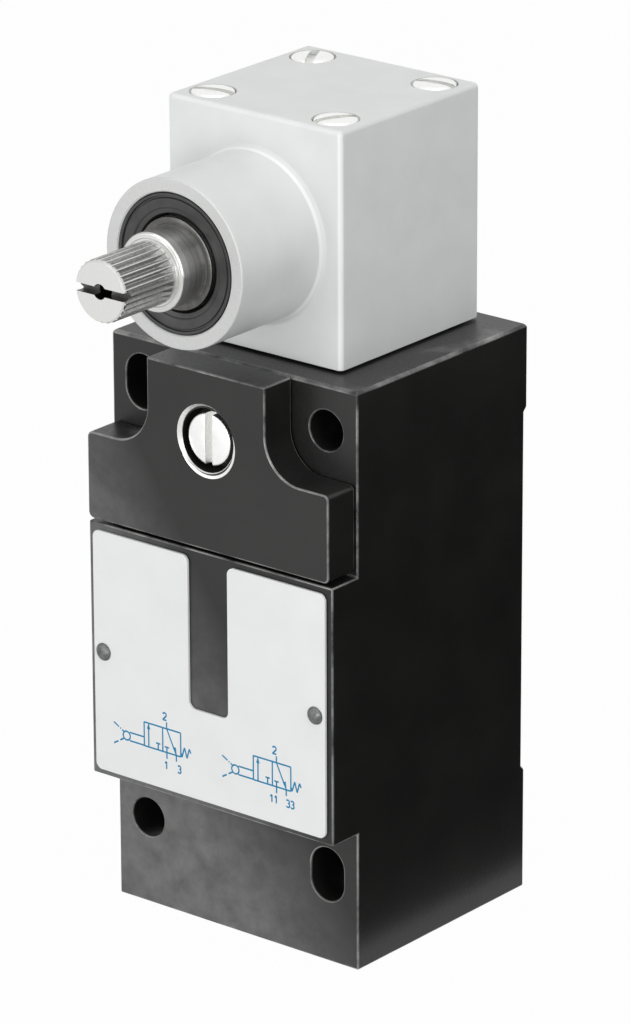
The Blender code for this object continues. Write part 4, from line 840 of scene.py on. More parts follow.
port = [
    (0, PORT_DEPTH + PORT_RADIUS / 2),
    (PORT_RADIUS, PORT_DEPTH),
    (PORT_RADIUS, 0.5),
    (PORT_RADIUS + 1, -0.5),
    (0, -0.5),
]
for name, (x, y) in PORTS.items():
    cut(body, turn_on_lathe(port, "Z", (x, y, 0), 64))
    channel_y = SUPPLY_CHANNEL_Y if name == "supply" else y
    elbow = Vector((x, channel_y, WINDOWS[name]))
    cut(body, start_rod(CHANNEL_RADIUS, (x, channel_y, PORT_DEPTH / 2), elbow, 24))
    window = Vector((0, HEAD_MIDDLE_Y, WINDOWS[name]))
    inward = (window - elbow).normalized()
    outside = elbow - inward * (1.5 if name == "supply" else 13)
    cut(body, start_rod(CROSS_HOLE_RADIUS, outside, window - inward * 6, 24))
for x, y in HEAD_SCREWS.values():
    cut(body, start_rod(HEAD_SCREW_HOLE, (x, y, BODY_TOP - HEAD_SCREW_DEPTH), (x, y, BODY_TOP + 1), 24))
screw_start = (0, BODY_FRONT - 1, COVER_SCREW_Z)
screw_end = (0, BODY_FRONT + COVER_SCREW_DEPTH, COVER_SCREW_Z)
cut(body, start_rod(COVER_SCREW_HOLE, screw_start, screw_end, 32))
for x in (-RIVET_X, RIVET_X):
    cut(body, start_rod(RIVET_HOLE, (x, BLOCK_FRONT - 1, RIVET_Z), (x, BLOCK_FRONT + 3, RIVET_Z), 20))
smooth(body)
hand_over(body, "housing", "black_paint", "valve_body")

# %% [markdown]
# ## The front cover
#
# The cover closes the drillings on the front. It is a flat casting with a wide foot and a narrow neck
# between the upper mounting holes, with a round corner where a screw's head needs room. An outline with a
# thickness makes it in one step. Its one screw sits in a counterbore, cut with a lathe-turned tool. Two
# shallow cones, each a little off the bore's middle, cut the bright chamfer, as the countersink wandered.

# %% The front cover
COVER_BACK = BODY_FRONT - 0.2
COVER_FRONT = COVER_BACK - 5.25
COVER_BOTTOM = 54.2
COVER_SHOULDER = 65.9
COVER_HALF = 19.7
COVER_WALL = 0.8
NECK_HALF = 9.6
NECK_ROUND = 5.5
COUNTERBORE = 4.2
COVER_SCREW_SUNK = 0.55
COVER_SCREW_HEAD = 2.6
SCREW_GAP = 0.1
COUNTERBORE_FLOOR = COVER_FRONT + COVER_SCREW_SUNK + COVER_SCREW_HEAD + SCREW_GAP
CLEARANCE_HOLE = 2.2
CHAMFERS = ((-0.05, 0.22, 0.42, 0.5), (0.2, -0.3, 0.38, 0.1))

right_side = arc(COVER_HALF - 0.8, COVER_BOTTOM + 0.8, 0.8, -90, 0, 6)
right_side += arc(COVER_HALF - 0.8, COVER_SHOULDER - 0.8, 0.8, 0, 90, 6)
right_side += arc(NECK_HALF + NECK_ROUND, COVER_SHOULDER + NECK_ROUND, NECK_ROUND, 270, 180, 20)
right_side += [(NECK_HALF, BODY_TOP - 0.1)]
outline = right_side + [(-x, z) for x, z in reversed(right_side)]
cover = punch_outline([(x, COVER_FRONT, z) for x, z in outline], (0, COVER_BACK - COVER_FRONT, 0))
named(cover, "cover_casting", black_enamel, worn_and_highlit_edge, machined_casting)
edit(cover)
pick_edges(lambda place: True, 60)
bevel_picked(PAINT_EDGE, 3, material=1)
leave_edit()

counterbore = [
    (0, COVER_FRONT - 0.5),
    (COUNTERBORE, COVER_FRONT - 0.5),
    (COUNTERBORE, COUNTERBORE_FLOOR),
    (CLEARANCE_HOLE, COUNTERBORE_FLOOR),
    (CLEARANCE_HOLE, COVER_BACK + 1),
    (0, COVER_BACK + 1),
]
cut(cover, turn_on_lathe(counterbore, "Y", (0, 0, COVER_SCREW_Z)))
recess_low = (-COVER_HALF + COVER_WALL, COVER_BACK - 0.6, COVER_BOTTOM + COVER_WALL)
recess_high = (COVER_HALF - COVER_WALL, COVER_BACK + 1, COVER_SHOULDER - COVER_WALL)
cut(cover, start_block(recess_low, recess_high))
for off_x, off_z, mouth, depth in CHAMFERS:
    chamfer = [
        (0, COVER_FRONT - 0.5),
        (COUNTERBORE + mouth, COVER_FRONT - 0.5),
        (COUNTERBORE + mouth, COVER_FRONT),
        (COUNTERBORE, COVER_FRONT + depth),
        (0, COVER_FRONT + depth),
    ]
    cut(cover, turn_on_lathe(chamfer, "Y", (off_x, 0, COVER_SCREW_Z + off_z)))


def on_the_chamfer(place, way):
    near_the_bore = math.hypot(place.x, place.z - COVER_SCREW_Z) < COUNTERBORE + 0.8
    return near_the_bore and -0.99 < way.y < -0.1


edit(cover)
pick_faces(on_the_chamfer)
paint_picked(cover, 2)
leave_edit()
smooth(cover)
hand_over(cover, "housing", "black_paint", "front_cover")

# %% [markdown]
# ## The plate and its rivets
#
# The plate is a punched strip of thin aluminium, with a notch from its top edge that shows the body
# through it. Punching rounds the upper edge a little, so its front edge gets a fine bevel. Two rivets
# with low domed heads hold it. One is turned and the other is its copy.

# %% The plate
PLATE_BACK = BLOCK_FRONT - 0.1
PLATE_FRONT = PLATE_BACK - 0.35
PLATE_HALF = 19.1
PLATE_EDGE = 0.08
PLATE_BOTTOM = 19.7
PLATE_TOP = 52.7
NOTCH_HALF = 3.25
NOTCH_FLOOR = PLATE_TOP - 20.7

right_side = arc(PLATE_HALF - 1, PLATE_BOTTOM + 1, 1, -90, 0, 8)
right_side += arc(PLATE_HALF - 1, PLATE_TOP - 1, 1, 0, 90, 8)
right_side += arc(NOTCH_HALF + 1, PLATE_TOP - 1, 1, 90, 180, 8)
right_side += arc(NOTCH_HALF - 1, NOTCH_FLOOR + 1, 1, 360, 270, 8)
outline = right_side + [(-x, z) for x, z in reversed(right_side)]
plate = punch_outline([(x, PLATE_FRONT, z) for x, z in outline], (0, PLATE_BACK - PLATE_FRONT, 0))
named(plate, "printed_plate", printed_plate)
for x in (-RIVET_X, RIVET_X):
    cut(plate, start_rod(RIVET_HOLE, (x, PLATE_FRONT - 1, RIVET_Z), (x, PLATE_BACK + 1, RIVET_Z), 20))
edit(plate)
pick_edges(lambda place: abs(place.y - PLATE_FRONT) < NEAR, 60)
bevel_picked(PLATE_EDGE, 2)
leave_edit()
smooth(plate)
hand_over(plate, "housing", "white_aluminium", "nameplate")

# %% The two rivets
rivet_section = [
    (0, PLATE_FRONT - 0.5),
    (0.45, PLATE_FRONT - 0.47),
    (0.8, PLATE_FRONT - 0.36),
    (1.05, PLATE_FRONT - 0.2),
    (1.18, PLATE_FRONT - 0.1),
    (1.2, PLATE_FRONT - 0.1 + 0.05),
    (0.7, PLATE_FRONT - 0.05),
    (0.7, PLATE_FRONT + 3.2),
    (0, PLATE_FRONT + 3.2),
]
left_rivet = turn_on_lathe(rivet_section, "Y", (-RIVET_X, 0, RIVET_Z), 48)
named(left_rivet, "rivet_left", rivet_aluminium)
smooth(left_rivet)
right_rivet = put_copy(left_rivet, "rivet_right", (2 * RIVET_X, 0, 0))
hand_over(left_rivet, "housing", "zinc_plated_steel", "nameplate_rivet_left")
hand_over(right_rivet, "housing", "zinc_plated_steel", "nameplate_rivet_right")

# %% [markdown]
# ## The drawing on the plate
#
# The plate shows the valve's circuit symbol twice: a roller and plunger on the left, two boxes with the
# ways of the air, a spring on the right, and the port numbers. A symbol is drawn as thin lines, so it is
# modelled as a wire: every stroke is a row of joined points. Turned into a curve, the wire gets a round
# thickness, and flattened it becomes a line of ink. The port numbers are plain figures, drawn in the same
# way, so that they have the same line. The left and the right symbol differ only in those.

# %% Draw the symbol
LINE_HALF = 0.112
INK_LIFT = 0.019
INK_DEPTH = 0.03
FLATTENED = 0.2
SYMBOL_STEP = 18.2
ROLLER = (-13.8, 25.5)

STROKES = [
    arc(0, 0, 0.6, 0, 360, 28),
    [(0.5, 0.58), (2.98, 0.58)],
    [(0.5, -0.58), (2.98, -0.58)],
    [(2.98, -0.62), (9.12, -0.62), (9.12, 2.67), (2.98, 2.67), (2.98, -0.62)],
    [(6.1, -0.62), (6.1, 2.67)],
    [(3.74, -0.62), (3.74, 2.5)],
    [(5.32, -0.62), (5.32, 0.26)],
    [(4.97, 0.26), (5.67, 0.26)],
    [(6.78, -1.48), (6.78, 0.1)],
    [(6.43, 0.1), (7.13, 0.1)],
    [(6.78, 3.56), (6.78, 2.67), (8.3, -0.45)],
    [(8.36, -0.62), (8.36, -1.47)],
    [(9.12, 0.0), (9.3, -0.6), (9.75, 0.8), (10.15, -0.55), (10.55, 0.8), (10.8, 0.25)],
]
LEVER_DASHES = {
    ((-2.16, 1.41), (-0.41, 0.43)): [(0.0, 0.5), (0.6, 0.68), (0.78, 1.0)],
    ((-2.16, -1.52), (-0.41, -0.44)): [(0.0, 0.42), (0.6, 1.0)],
}
for (start, end), dashes in LEVER_DASHES.items():
    for first, last in dashes:
        STROKES.append([tuple(Vector(start).lerp(Vector(end), share)) for share in (first, last)])


def on_plate(x, z, lift=0.0):
    """A point of the drawing on the plate's face, in millimetres from the roller's centre."""
    return (ROLLER[0] + x, PLATE_FRONT - lift, ROLLER[1] + z)


def split_at_corners(stroke):
    """Splits a stroke at its sharp corners, because a wire that turns there gets thin on both sides."""
    parts = [[stroke[0]]]
    for last, point, following in zip(stroke, stroke[1:], stroke[2:]):
        parts[-1].append(point)
        turn = (Vector(point) - Vector(last)).angle(Vector(following) - Vector(point))
        if turn > math.radians(35):
            parts.append([point])
    parts[-1].append(stroke[-1])
    return parts


def thicken_wire(wire, radius):
    """Gives the active piece's line of points a round thickness, as a curve, and makes it a mesh again."""
    bpy.ops.object.convert(target="CURVE")
    wire.data.bevel_depth = radius * MM
    wire.data.bevel_resolution = 2
    wire.data.use_fill_caps = True
    bpy.ops.object.convert(target="MESH")
    return wire


def draw_ink(strokes):
    """Draws strokes of (x, z) points on the plate and gives them the thickness of a line of ink."""
    wires = []
    for stroke in strokes:
        for part in split_at_corners(stroke):
            draw_line([on_plate(x, z) for x, z in part])
            leave_edit()
            wires.append(bpy.context.object)
    join_into(wires[0], wires[1:])
    ink = thicken_wire(bpy.context.object, LINE_HALF)
    edit(ink)
    bpy.ops.mesh.select_all(action="SELECT")
    bpy.ops.transform.resize(value=(1, FLATTENED, 1), center_override=mm(0, PLATE_FRONT, 0))
    leave_edit()
    return ink


def join_into(piece, others):
    bpy.ops.object.select_all(action="DESELECT")
    for other in others:
        other.select_set(True)
    piece.select_set(True)
    bpy.context.view_layer.objects.active = piece
    bpy.ops.object.join()


# %% Add the arrowheads and the numbers
ARROWS = [
    [(3.74, 2.67), (3.46, 1.85), (4.02, 1.85)],
    [(8.45, -0.62), (7.78, 0.28), (8.28, 0.49)],
]
FIGURES = {
    "1": [[(-0.2, 0.25), (0.06, 0.5), (0.06, -0.5)]],
    "2": [[*arc(0, 0.22, 0.28, 165, -35, 8), (-0.3, -0.5), (0.32, -0.5)]],
    "3": [arc(-0.02, 0.25, 0.25, 150, -80, 8) + arc(-0.02, -0.23, 0.28, 80, -150, 8)],
}
FIGURE_STEP = 0.72
LABELS = {
    "left": [("2", 6.45, 4.3), ("1", 6.65, -2.4), ("3", 8.85, -2.45)],
    "right": [("2", 6.45, 4.3), ("11", 6.3, -2.4), ("33", 9.0, -2.45)],
}


def number_strokes(number, x, z):
    """The strokes of a number whose middle is at x, z."""
    strokes = []
    for place, figure in enumerate(number):
        left = x + (place - (len(number) - 1) / 2) * FIGURE_STEP
        for stroke in FIGURES[figure]:
            strokes.append([(left + px, z + pz) for px, pz in stroke])
    return strokes


for side, step in (("left", 0), ("right", SYMBOL_STEP)):
    strokes = list(STROKES)
    for number, x, z in LABELS[side]:
        strokes += number_strokes(number, x, z)
    ink = draw_ink([[(x + step, z) for x, z in stroke] for stroke in strokes])
    for arrow in ARROWS:
        head = punch_outline([on_plate(x + step, z, INK_LIFT) for x, z in arrow], (0, INK_DEPTH, 0))
        join_into(ink, [head])
    named(ink, f"circuit_symbol_{side}", blue_ink)
    edit(ink)
    close_mesh(0.0001)
    leave_edit()
    hand_over(ink, "housing", "white_aluminium")

# %% [markdown]
# ## The head
#
# The head is a square casting with rounded corners and a round boss for the shaft. The upright corners are
# rounded first and the top edge after them, because a bevel round a corner needs the corner's curve to be
# there. The boss is turned with a flared foot, so that it runs into the flat face in a small fillet, and is
# joined on with a Boolean. Then everything inside is bored out.

# %% The head: block and boss
HEAD_HALF = 14.0
HEAD_BOTTOM = 78.3
HEAD_TOP = 109.4
HEAD_FRONT = HEAD_MIDDLE_Y - HEAD_HALF
BOSS_TIP = -28.5
BOSS_RADIUS = 11.0
FILLET = 1.0
UPRIGHT_ROUND = 0.7
TOP_ROUND = 0.65
FOOT_ROUND = 0.1
SEAL_BORE = 9.15

head = start_block(
    (-HEAD_HALF, HEAD_FRONT, HEAD_BOTTOM), (HEAD_HALF, HEAD_MIDDLE_Y + HEAD_HALF, HEAD_TOP)
)
named(head, "head_casting", grey_enamel, cast_rim, painted_highlight_enamel)
edit(head)
pick_upright_edges()
bevel_picked(UPRIGHT_ROUND, 5)
pick_edges(lambda place: place.z > HEAD_TOP - NEAR)
bevel_picked(TOP_ROUND, 5)
pick_edges(lambda place: place.z < HEAD_BOTTOM + NEAR)
bevel_picked(FOOT_ROUND, 2)
# painted highlight: the rounded upright corners get the paler enamel
pick_faces(lambda place, way: abs(way.z) < 0.3 and max(abs(way.x), abs(way.y)) < 0.96)
paint_picked(head, 2)
leave_edit()

root = HEAD_FRONT + 0.02
boss_section = [(0, BOSS_TIP)]
boss_section += arc(BOSS_RADIUS - 0.2, BOSS_TIP + 0.2, 0.2, 270, 360, 4)
boss_section += arc(BOSS_RADIUS + FILLET, root - FILLET, FILLET, 180, 90, 10)
boss_section += [(BOSS_RADIUS + FILLET, root + 1.5), (0, root + 1.5)]
boss = turn_on_lathe(boss_section, "Y", (0, 0, SHAFT_HEIGHT), 128)
boolean(head, boss, "UNION")

# %% The head: everything inside
CAM_CHAMBER = 10.5
CHAMBER_HEIGHT = 24.4
SEAL_FLOOR = -23.2
FRONT_BORE = 7.6
REAR_BORE = 5.7
REAR_BORE_END = 13.2
SCREW_POCKET = 3.0
SCREW_CLEARANCE = 1.7
HEAD_SCREW_PROUD = 0.3
HEAD_SCREW_HEAD = 2.0
GASKET_HALF = 13
GASKET_TOP = 78.8
POCKET_EDGE = 0.14

chamber_top = (0, HEAD_MIDDLE_Y, HEAD_BOTTOM + CHAMBER_HEIGHT)
cut(head, start_rod(CAM_CHAMBER, (0, HEAD_MIDDLE_Y, HEAD_BOTTOM - 1), chamber_top, 96))
shaft_bore = [
    (0, BOSS_TIP - 1),
    (SEAL_BORE + 1.15, BOSS_TIP - 1),
    (SEAL_BORE, BOSS_TIP + 0.15),
    (SEAL_BORE, SEAL_FLOOR),
    (FRONT_BORE, SEAL_FLOOR),
    (FRONT_BORE, HEAD_MIDDLE_Y),
    (0, HEAD_MIDDLE_Y),
]
cut(head, turn_on_lathe(shaft_bore, "Y", (0, 0, SHAFT_HEIGHT), 128))
rear_end = (0, REAR_BORE_END, SHAFT_HEIGHT)
cut(head, start_rod(REAR_BORE, (0, HEAD_MIDDLE_Y, SHAFT_HEIGHT), rear_end, 64))
screw_floor = HEAD_TOP + HEAD_SCREW_PROUD - HEAD_SCREW_HEAD - SCREW_GAP
screw_bore = [
    (0, HEAD_TOP + 1),
    (SCREW_POCKET, HEAD_TOP + 1),
    (SCREW_POCKET, screw_floor),
    (SCREW_CLEARANCE, screw_floor),
    (SCREW_CLEARANCE, HEAD_BOTTOM - 1),
    (0, HEAD_BOTTOM - 1),
]
for x, y in HEAD_SCREWS.values():
    cut(head, turn_on_lathe(screw_bore, "Z", (x, y, 0), 64))
recess_low = (-GASKET_HALF, HEAD_MIDDLE_Y - GASKET_HALF, HEAD_BOTTOM - 1)
recess_high = (GASKET_HALF, HEAD_MIDDLE_Y + GASKET_HALF, GASKET_TOP)
cut(head, start_block(recess_low, recess_high))
edit(head)
pick_edges(lambda place: place.z > HEAD_TOP - NEAR)
bevel_picked(POCKET_EDGE, 2, material=1)
pick_faces(lambda place, way: place.y < BOSS_TIP + 0.2 and way.y < -0.5)
paint_picked(head, 1)
# painted highlight: the fillet at the foot of the boss gets the paler enamel
pick_faces(lambda place, way: root - FILLET < place.y < root and -0.72 < way.y < -0.28)
paint_picked(head, 2)
leave_edit()
smooth(head)
hand_over(head, "housing", "grey_paint", "head_housing")

# %% [markdown]
# ## The slotted screws
#
# Four long screws hold the head, and one shorter screw holds the cover. All are cheese heads with a
# straight slot. A screw is turned at the origin, standing up, its slot is cut with a block, and its edges
# are softened. Each one is then a copy, turned to the angle at which its slot stopped when it was
# tightened.


# %% Turn the screws
SLOT_WIDTH = 1.15


def turn_screw(name, head_radius, head_height, shank_radius, shank_length, crown_share):
    """A slotted cheese-head screw that stands at the origin with its head's top at height 0."""
    crown = head_radius * crown_share
    section = [
        (0, 0),
        (head_radius * 0.45, -crown * 0.08),
        (head_radius - crown * 1.6, -crown * 0.3),
        (head_radius - crown * 0.5, -crown * 0.62),
        (head_radius - crown * 0.1, -crown * 1.1),
        (head_radius, -crown * 1.7),
        (head_radius, -head_height),
        (shank_radius, -head_height),
        (shank_radius, -head_height - shank_length + 0.5),
        (shank_radius - 0.5, -head_height - shank_length),
        (0, -head_height - shank_length),
    ]
    screw = turn_on_lathe(section, "Z", (0, 0, 0), 64)
    named(screw, name, zinc)
    reach = head_radius + 1
    floor = -head_height * 0.45
    cut(screw, start_block((-reach, -SLOT_WIDTH / 2, floor), (reach, SLOT_WIDTH / 2, 1)))
    soften(screw, 0.06)
    smooth(screw)
    return screw


SLOT_ANGLES = {"front_left": 12, "front_right": 62, "rear_left": 118, "rear_right": 8}
pattern = turn_screw("head_screw_pattern", 2.85, HEAD_SCREW_HEAD, 1.5, 36.2, crown_share=0.14)
for corner, (x, y) in HEAD_SCREWS.items():
    turn = (0, 0, math.radians(SLOT_ANGLES[corner]))
    screw = put_copy(pattern, f"slotted_screw_{corner}", (x, y, HEAD_TOP + HEAD_SCREW_PROUD), turn)
    hand_over(screw, "housing", "zinc_plated_steel", f"head_screw_{corner}")
bpy.data.objects.remove(pattern)

pattern = turn_screw("cover_screw_pattern", 3.45, COVER_SCREW_HEAD, 2.0, 8.3, crown_share=0.06)
place = (0, COVER_FRONT + COVER_SCREW_SUNK, COVER_SCREW_Z)
screw = put_copy(pattern, "slotted_screw_cover", place, (math.pi / 2, math.pi / 2, 0))
hand_over(screw, "housing", "zinc_plated_steel", "cover_screw")
bpy.data.objects.remove(pattern)

# %% [markdown]
# ## The shaft seal
#
# The seal is a moulded rubber ring, pressed into the mouth of the boss. Its flat face has a slightly raised
# outer rim, and it dips towards the lip that rubs on the shaft. It is a turning with a hollow behind the
# lip, as the real section has, so that it is right from any side.

# %% The seal
seal_section = [
    (8.75, BOSS_TIP + 0.1),
    (8.97, BOSS_TIP + 0.13),
    (9.05, BOSS_TIP + 0.35),
    (9.05, BOSS_TIP + 5.1),
    (7.85, BOSS_TIP + 5.1),
    (7.85, BOSS_TIP + 1.5),
    (7.3, BOSS_TIP + 1.5),
    (6.7, BOSS_TIP + 3.7),
    (6.1, BOSS_TIP + 3.1),
    (6.3, BOSS_TIP + 0.9),
    (6.42, BOSS_TIP + 0.55),
    (6.7, BOSS_TIP + 0.45),
    (7.0, BOSS_TIP + 0.42),
    (7.1, BOSS_TIP + 0.26),
    (7.3, BOSS_TIP + 0.2),
    (8.3, BOSS_TIP + 0.2),
    (8.42, BOSS_TIP + 0.38),
    (8.56, BOSS_TIP + 0.38),
    (8.66, BOSS_TIP + 0.13),
    (8.75, BOSS_TIP + 0.1),
]
seal = turn_on_lathe(seal_section, "Y", (0, 0, SHAFT_HEIGHT), 128)
named(seal, "lip_seal", rubber)
smooth(seal, 45)
hand_over(seal, "housing", "nitrile_rubber", "shaft_seal")

# %% [markdown]
# ## The shaft
#
# The shaft is turned in one piece: a polished collar, the journal in the seal, and a thinner spindle inside
# the head. Its outer end is rolled into 28 fine teeth that grip a lever, with a straight slot and a centre
# hole in its end. The teeth are an outline with a flat crest and a flat root, drawn along the shaft. Their
# tips are turned down at the end, and where the rolling tool stopped it pushed up a small ridge against the
# collar.

# %% The turned shaft
COLLAR_FRONT = -32.7
SHAFT_TIP = -42.45
COLLAR_RADIUS = 5.1
JOURNAL = 6.0
CREST = 4.05
TOOTH_DEPTH = 0.42
TEETH = 28
RUN_OUT = 2.4
PLAIN_END = 0.55
PIN_HOLE = 1.35
PIN_Y = -4.5

shaft_section = [
    (0, COLLAR_FRONT - RUN_OUT),
    (CREST - TOOTH_DEPTH, COLLAR_FRONT - RUN_OUT),
    (CREST - 0.06, COLLAR_FRONT - 0.5),
    (CREST + 0.02, COLLAR_FRONT - 0.06),
    (4.3, COLLAR_FRONT - 0.04),
    (4.42, COLLAR_FRONT - 0.14),
    (4.6, COLLAR_FRONT - 0.12),
    (4.7, COLLAR_FRONT),
    (COLLAR_RADIUS - 0.2, COLLAR_FRONT + 0.02),
    (COLLAR_RADIUS - 0.05, COLLAR_FRONT + 0.08),
    (COLLAR_RADIUS, COLLAR_FRONT + 0.25),
    (COLLAR_RADIUS, -28.45),
    (COLLAR_RADIUS + 0.1, -28.35),
    (JOURNAL - 0.25, -28.35),
    (JOURNAL - 0.07, -28.28),
    (JOURNAL, -28.1),
    (JOURNAL, -12.7),
    (JOURNAL - 0.45, -12.7),
    (JOURNAL - 0.45, -11.5),
    (JOURNAL, -11.5),
    (JOURNAL, -7.45),
    (JOURNAL - 0.25, -7.2),
    (4.0, -7.2),
    (4.0, 12.65),
    (3.75, 12.9),
    (0, 12.9),
]
shaft = turn_on_lathe(shaft_section, "Y", (0, 0, SHAFT_HEIGHT), 128)
named(shaft, "lever_shaft_turned", polished_steel, rolled_steel, painted_shade_steel, shaded_tooth_roots)

# %% The toothed end
SLOT_HALF = 0.55
SLOT_DEPTH = 1.2
TOOTH_ROOT = CREST - TOOTH_DEPTH
TOOTH_CORNERS = ((CREST, -0.09), (CREST, 0.09), (TOOTH_ROOT, 0.44), (TOOTH_ROOT, 0.56))

outline = []
for tooth in range(TEETH):
    for radius, share in TOOTH_CORNERS:
        angle = (tooth + share) * (math.tau / TEETH)
        outline.append((radius * math.cos(angle), SHAFT_TIP, SHAFT_HEIGHT + radius * math.sin(angle)))


def start_slot():
    """The bar that cuts the screwdriver's slot in the shaft's end."""
    low = (-6, SHAFT_TIP - 1, SHAFT_HEIGHT - SLOT_HALF)
    return start_block(low, (6, SHAFT_TIP + SLOT_DEPTH, SHAFT_HEIGHT + SLOT_HALF))


teeth = punch_outline(outline, (0, COLLAR_FRONT + 0.5 - SHAFT_TIP, 0))
named(teeth, "teeth", rolled_steel)
tip_cutter = [
    (TOOTH_ROOT - 0.33, SHAFT_TIP - 0.3),
    (CREST + 1, SHAFT_TIP - 0.3),
    (CREST + 1, SHAFT_TIP + 1.15),
    (TOOTH_ROOT - 0.33, SHAFT_TIP - 0.3),
]
cut(teeth, turn_on_lathe(tip_cutter, "Y", (0, 0, SHAFT_HEIGHT), 128))
cut(teeth, start_slot())
hole = [(0, SHAFT_TIP - 1), (1.0, SHAFT_TIP - 1), (1.0, SHAFT_TIP + 5), (0, SHAFT_TIP + 5.5)]
cut(teeth, turn_on_lathe(hole, "Y", (0, 0, SHAFT_HEIGHT), 48))
end_band = [
    (1.0, SHAFT_TIP),
    (CREST - 0.3, SHAFT_TIP),
    (CREST - 0.12, SHAFT_TIP + 0.18),
    (CREST - 0.12, SHAFT_TIP + PLAIN_END),
    (TOOTH_ROOT, SHAFT_TIP + PLAIN_END + 0.3),
    (1.0, SHAFT_TIP + PLAIN_END + 0.3),
    (1.0, SHAFT_TIP),
]
band = turn_on_lathe(end_band, "Y", (0, 0, SHAFT_HEIGHT), 128)
cut(band, start_slot())
boolean(teeth, band, "UNION")
boolean(shaft, teeth, "UNION")
cut(shaft, start_rod(PIN_HOLE, (0, PIN_Y, SHAFT_HEIGHT - 5), (0, PIN_Y, SHAFT_HEIGHT + 5), 32))


def from_axis(place):
    return math.hypot(place.x, place.z - SHAFT_HEIGHT)


def among_the_teeth(place, way):
    along = SHAFT_TIP + 0.5 < place.y < COLLAR_FRONT - 0.2
    return along and 3.5 < from_axis(place) < CREST - 0.1


edit(shaft)
pick_faces(lambda place, way: place.y < COLLAR_FRONT + 0.05 and from_axis(place) < COLLAR_RADIUS)
paint_picked(shaft, 1)
# painted shade: the flanks and roots between the teeth get darker steel
pick_faces(among_the_teeth)
paint_picked(shaft, 3)
# painted shade: the slot and the centre hole get dark steel
pick_faces(lambda place, way: SHAFT_TIP + 0.01 < place.y < SHAFT_TIP + 6 and from_axis(place) < 3.5)
paint_picked(shaft, 2)
# painted shade: the step behind the collar gets dark steel
pick_faces(lambda place, way: -28.6 < place.y < -27 and from_axis(place) > COLLAR_RADIUS + 0.02)
paint_picked(shaft, 2)
leave_edit()
smooth(shaft, 30)
hand_over(shaft, "shaft", "machined_steel", "lever_shaft")

# %% [markdown]
# ## The pieces inside
#
# The pieces inside the head and the body keep their CAD shapes, which are already right, and each gets the
# finish of its own kind: a hardened cam, pin and plunger, a polished spool, spring steel for the retaining
# ring and the return spring, bronze bushes, brass for the guide and the sleeve, and rubber for the rings and
# gaskets.

# %% Finish the pieces inside
INSIDE = {
    rubber: ["cover_gasket", "head_gasket", "plunger_seal"],
    hardened_steel: ["cam", "drive_pin", "plunger"],
    spring_steel: ["retaining_ring", "shaft_return_spring"],
    bronze: ["front_bush", "rear_bush"],
    brass: ["plunger_guide", "spool_sleeve"],
    polished_steel: ["spool"],
}
INSIDE[rubber] += sorted(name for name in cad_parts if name.startswith("sleeve_o_ring"))
for material, names in INSIDE.items():
    for name in names:
        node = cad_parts[name]
        for slot in node.material_slots:
            slot.material = material
finished = sum(len(names) for names in INSIDE.values())
print("pieces inside", finished)

# %% [markdown]
# ## The two pressed springs
#
# One spring lifts the plunger and one lifts the spool, and both get shorter as the valve opens. These two
# are wound here: a line of points runs round and up, and as a curve it gets the thickness of the wire. The
# end turns lie close, as on a real spring.

# %% Wind the two springs
TURN_STEPS = 16
CLOSE_TURN = 1.15
SPRINGS = {
    "plunger_spring": ("plunger_stroke", 0.8, 5),
    "spool_spring": ("spool_stroke", 0.7, 7),
}


def wind_spring(name, wire, turns):
    """A coil of wire in the place of a spring of the frame, with one close turn at each end."""
    low, high = (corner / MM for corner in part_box(name))
    radius = (high.x - low.x - wire) / 2
    foot = low.z + wire / 2
    close = wire * CLOSE_TURN
    spread = (high.z - low.z - wire - 2 * close) / (turns - 2)
    points = []
    for step in range(turns * TURN_STEPS + 1):
        turn = step / TURN_STEPS
        end_turns = min(turn, 1) + max(0, turn - turns + 1)
        open_turns = max(0, min(turn - 1, turns - 2))
        angle = math.tau * turn
        rise = end_turns * close + open_turns * spread
        points.append((radius * math.cos(angle), HEAD_MIDDLE_Y + radius * math.sin(angle), foot + rise))
    draw_line(points)
    leave_edit()
    spring = thicken_wire(bpy.context.object, wire / 2)
    edit(spring)
    close_mesh(0.0001)
    leave_edit()
    return spring


for name, (joint, wire, turns) in SPRINGS.items():
    spring = wind_spring(name, wire, turns)
    named(spring, f"wound_{name}", spring_steel)
    smooth(spring)
    hand_over(spring, "housing", "spring_steel", name)
    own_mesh(spring)

# %% [markdown]
# ## Floor, lamps and background
#
# The photograph is lit by large soft lamps, on plain white. A large pale floor catches a soft shadow. The
# background is white because the floor and the sky show white to the camera, and to reflections, without
# putting more light on the object. Two black cards, which only reflections see, are painted shade: one
# stands on the right, and one lies on the floor to the right and behind, where the object's shadow falls, so
# that the black paint on that side mirrors something dark and stays dark.

# %% The floor
PAPER_GLOW = 0.98

bpy.ops.object.select_all(action="DESELECT")
bpy.ops.mesh.primitive_plane_add(size=6, location=(0, 0, -0.0001))
floor = bpy.context.object
floor.name = "floor"
floor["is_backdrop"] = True


def seen_directly(owner):
    """1 for rays that come from the camera, a mirror or glass, and 0 for those that only bring light."""
    share = add_node(owner, "ShaderNodeLightPath", "Is Camera Ray", {})
    for ray in ("Is Glossy Ray", "Is Transmission Ray"):
        other = add_node(owner, "ShaderNodeLightPath", ray, {})
        share = add_node(owner, "ShaderNodeMath", "Value", {0: share, 1: other}, operation="MAXIMUM")
    return share


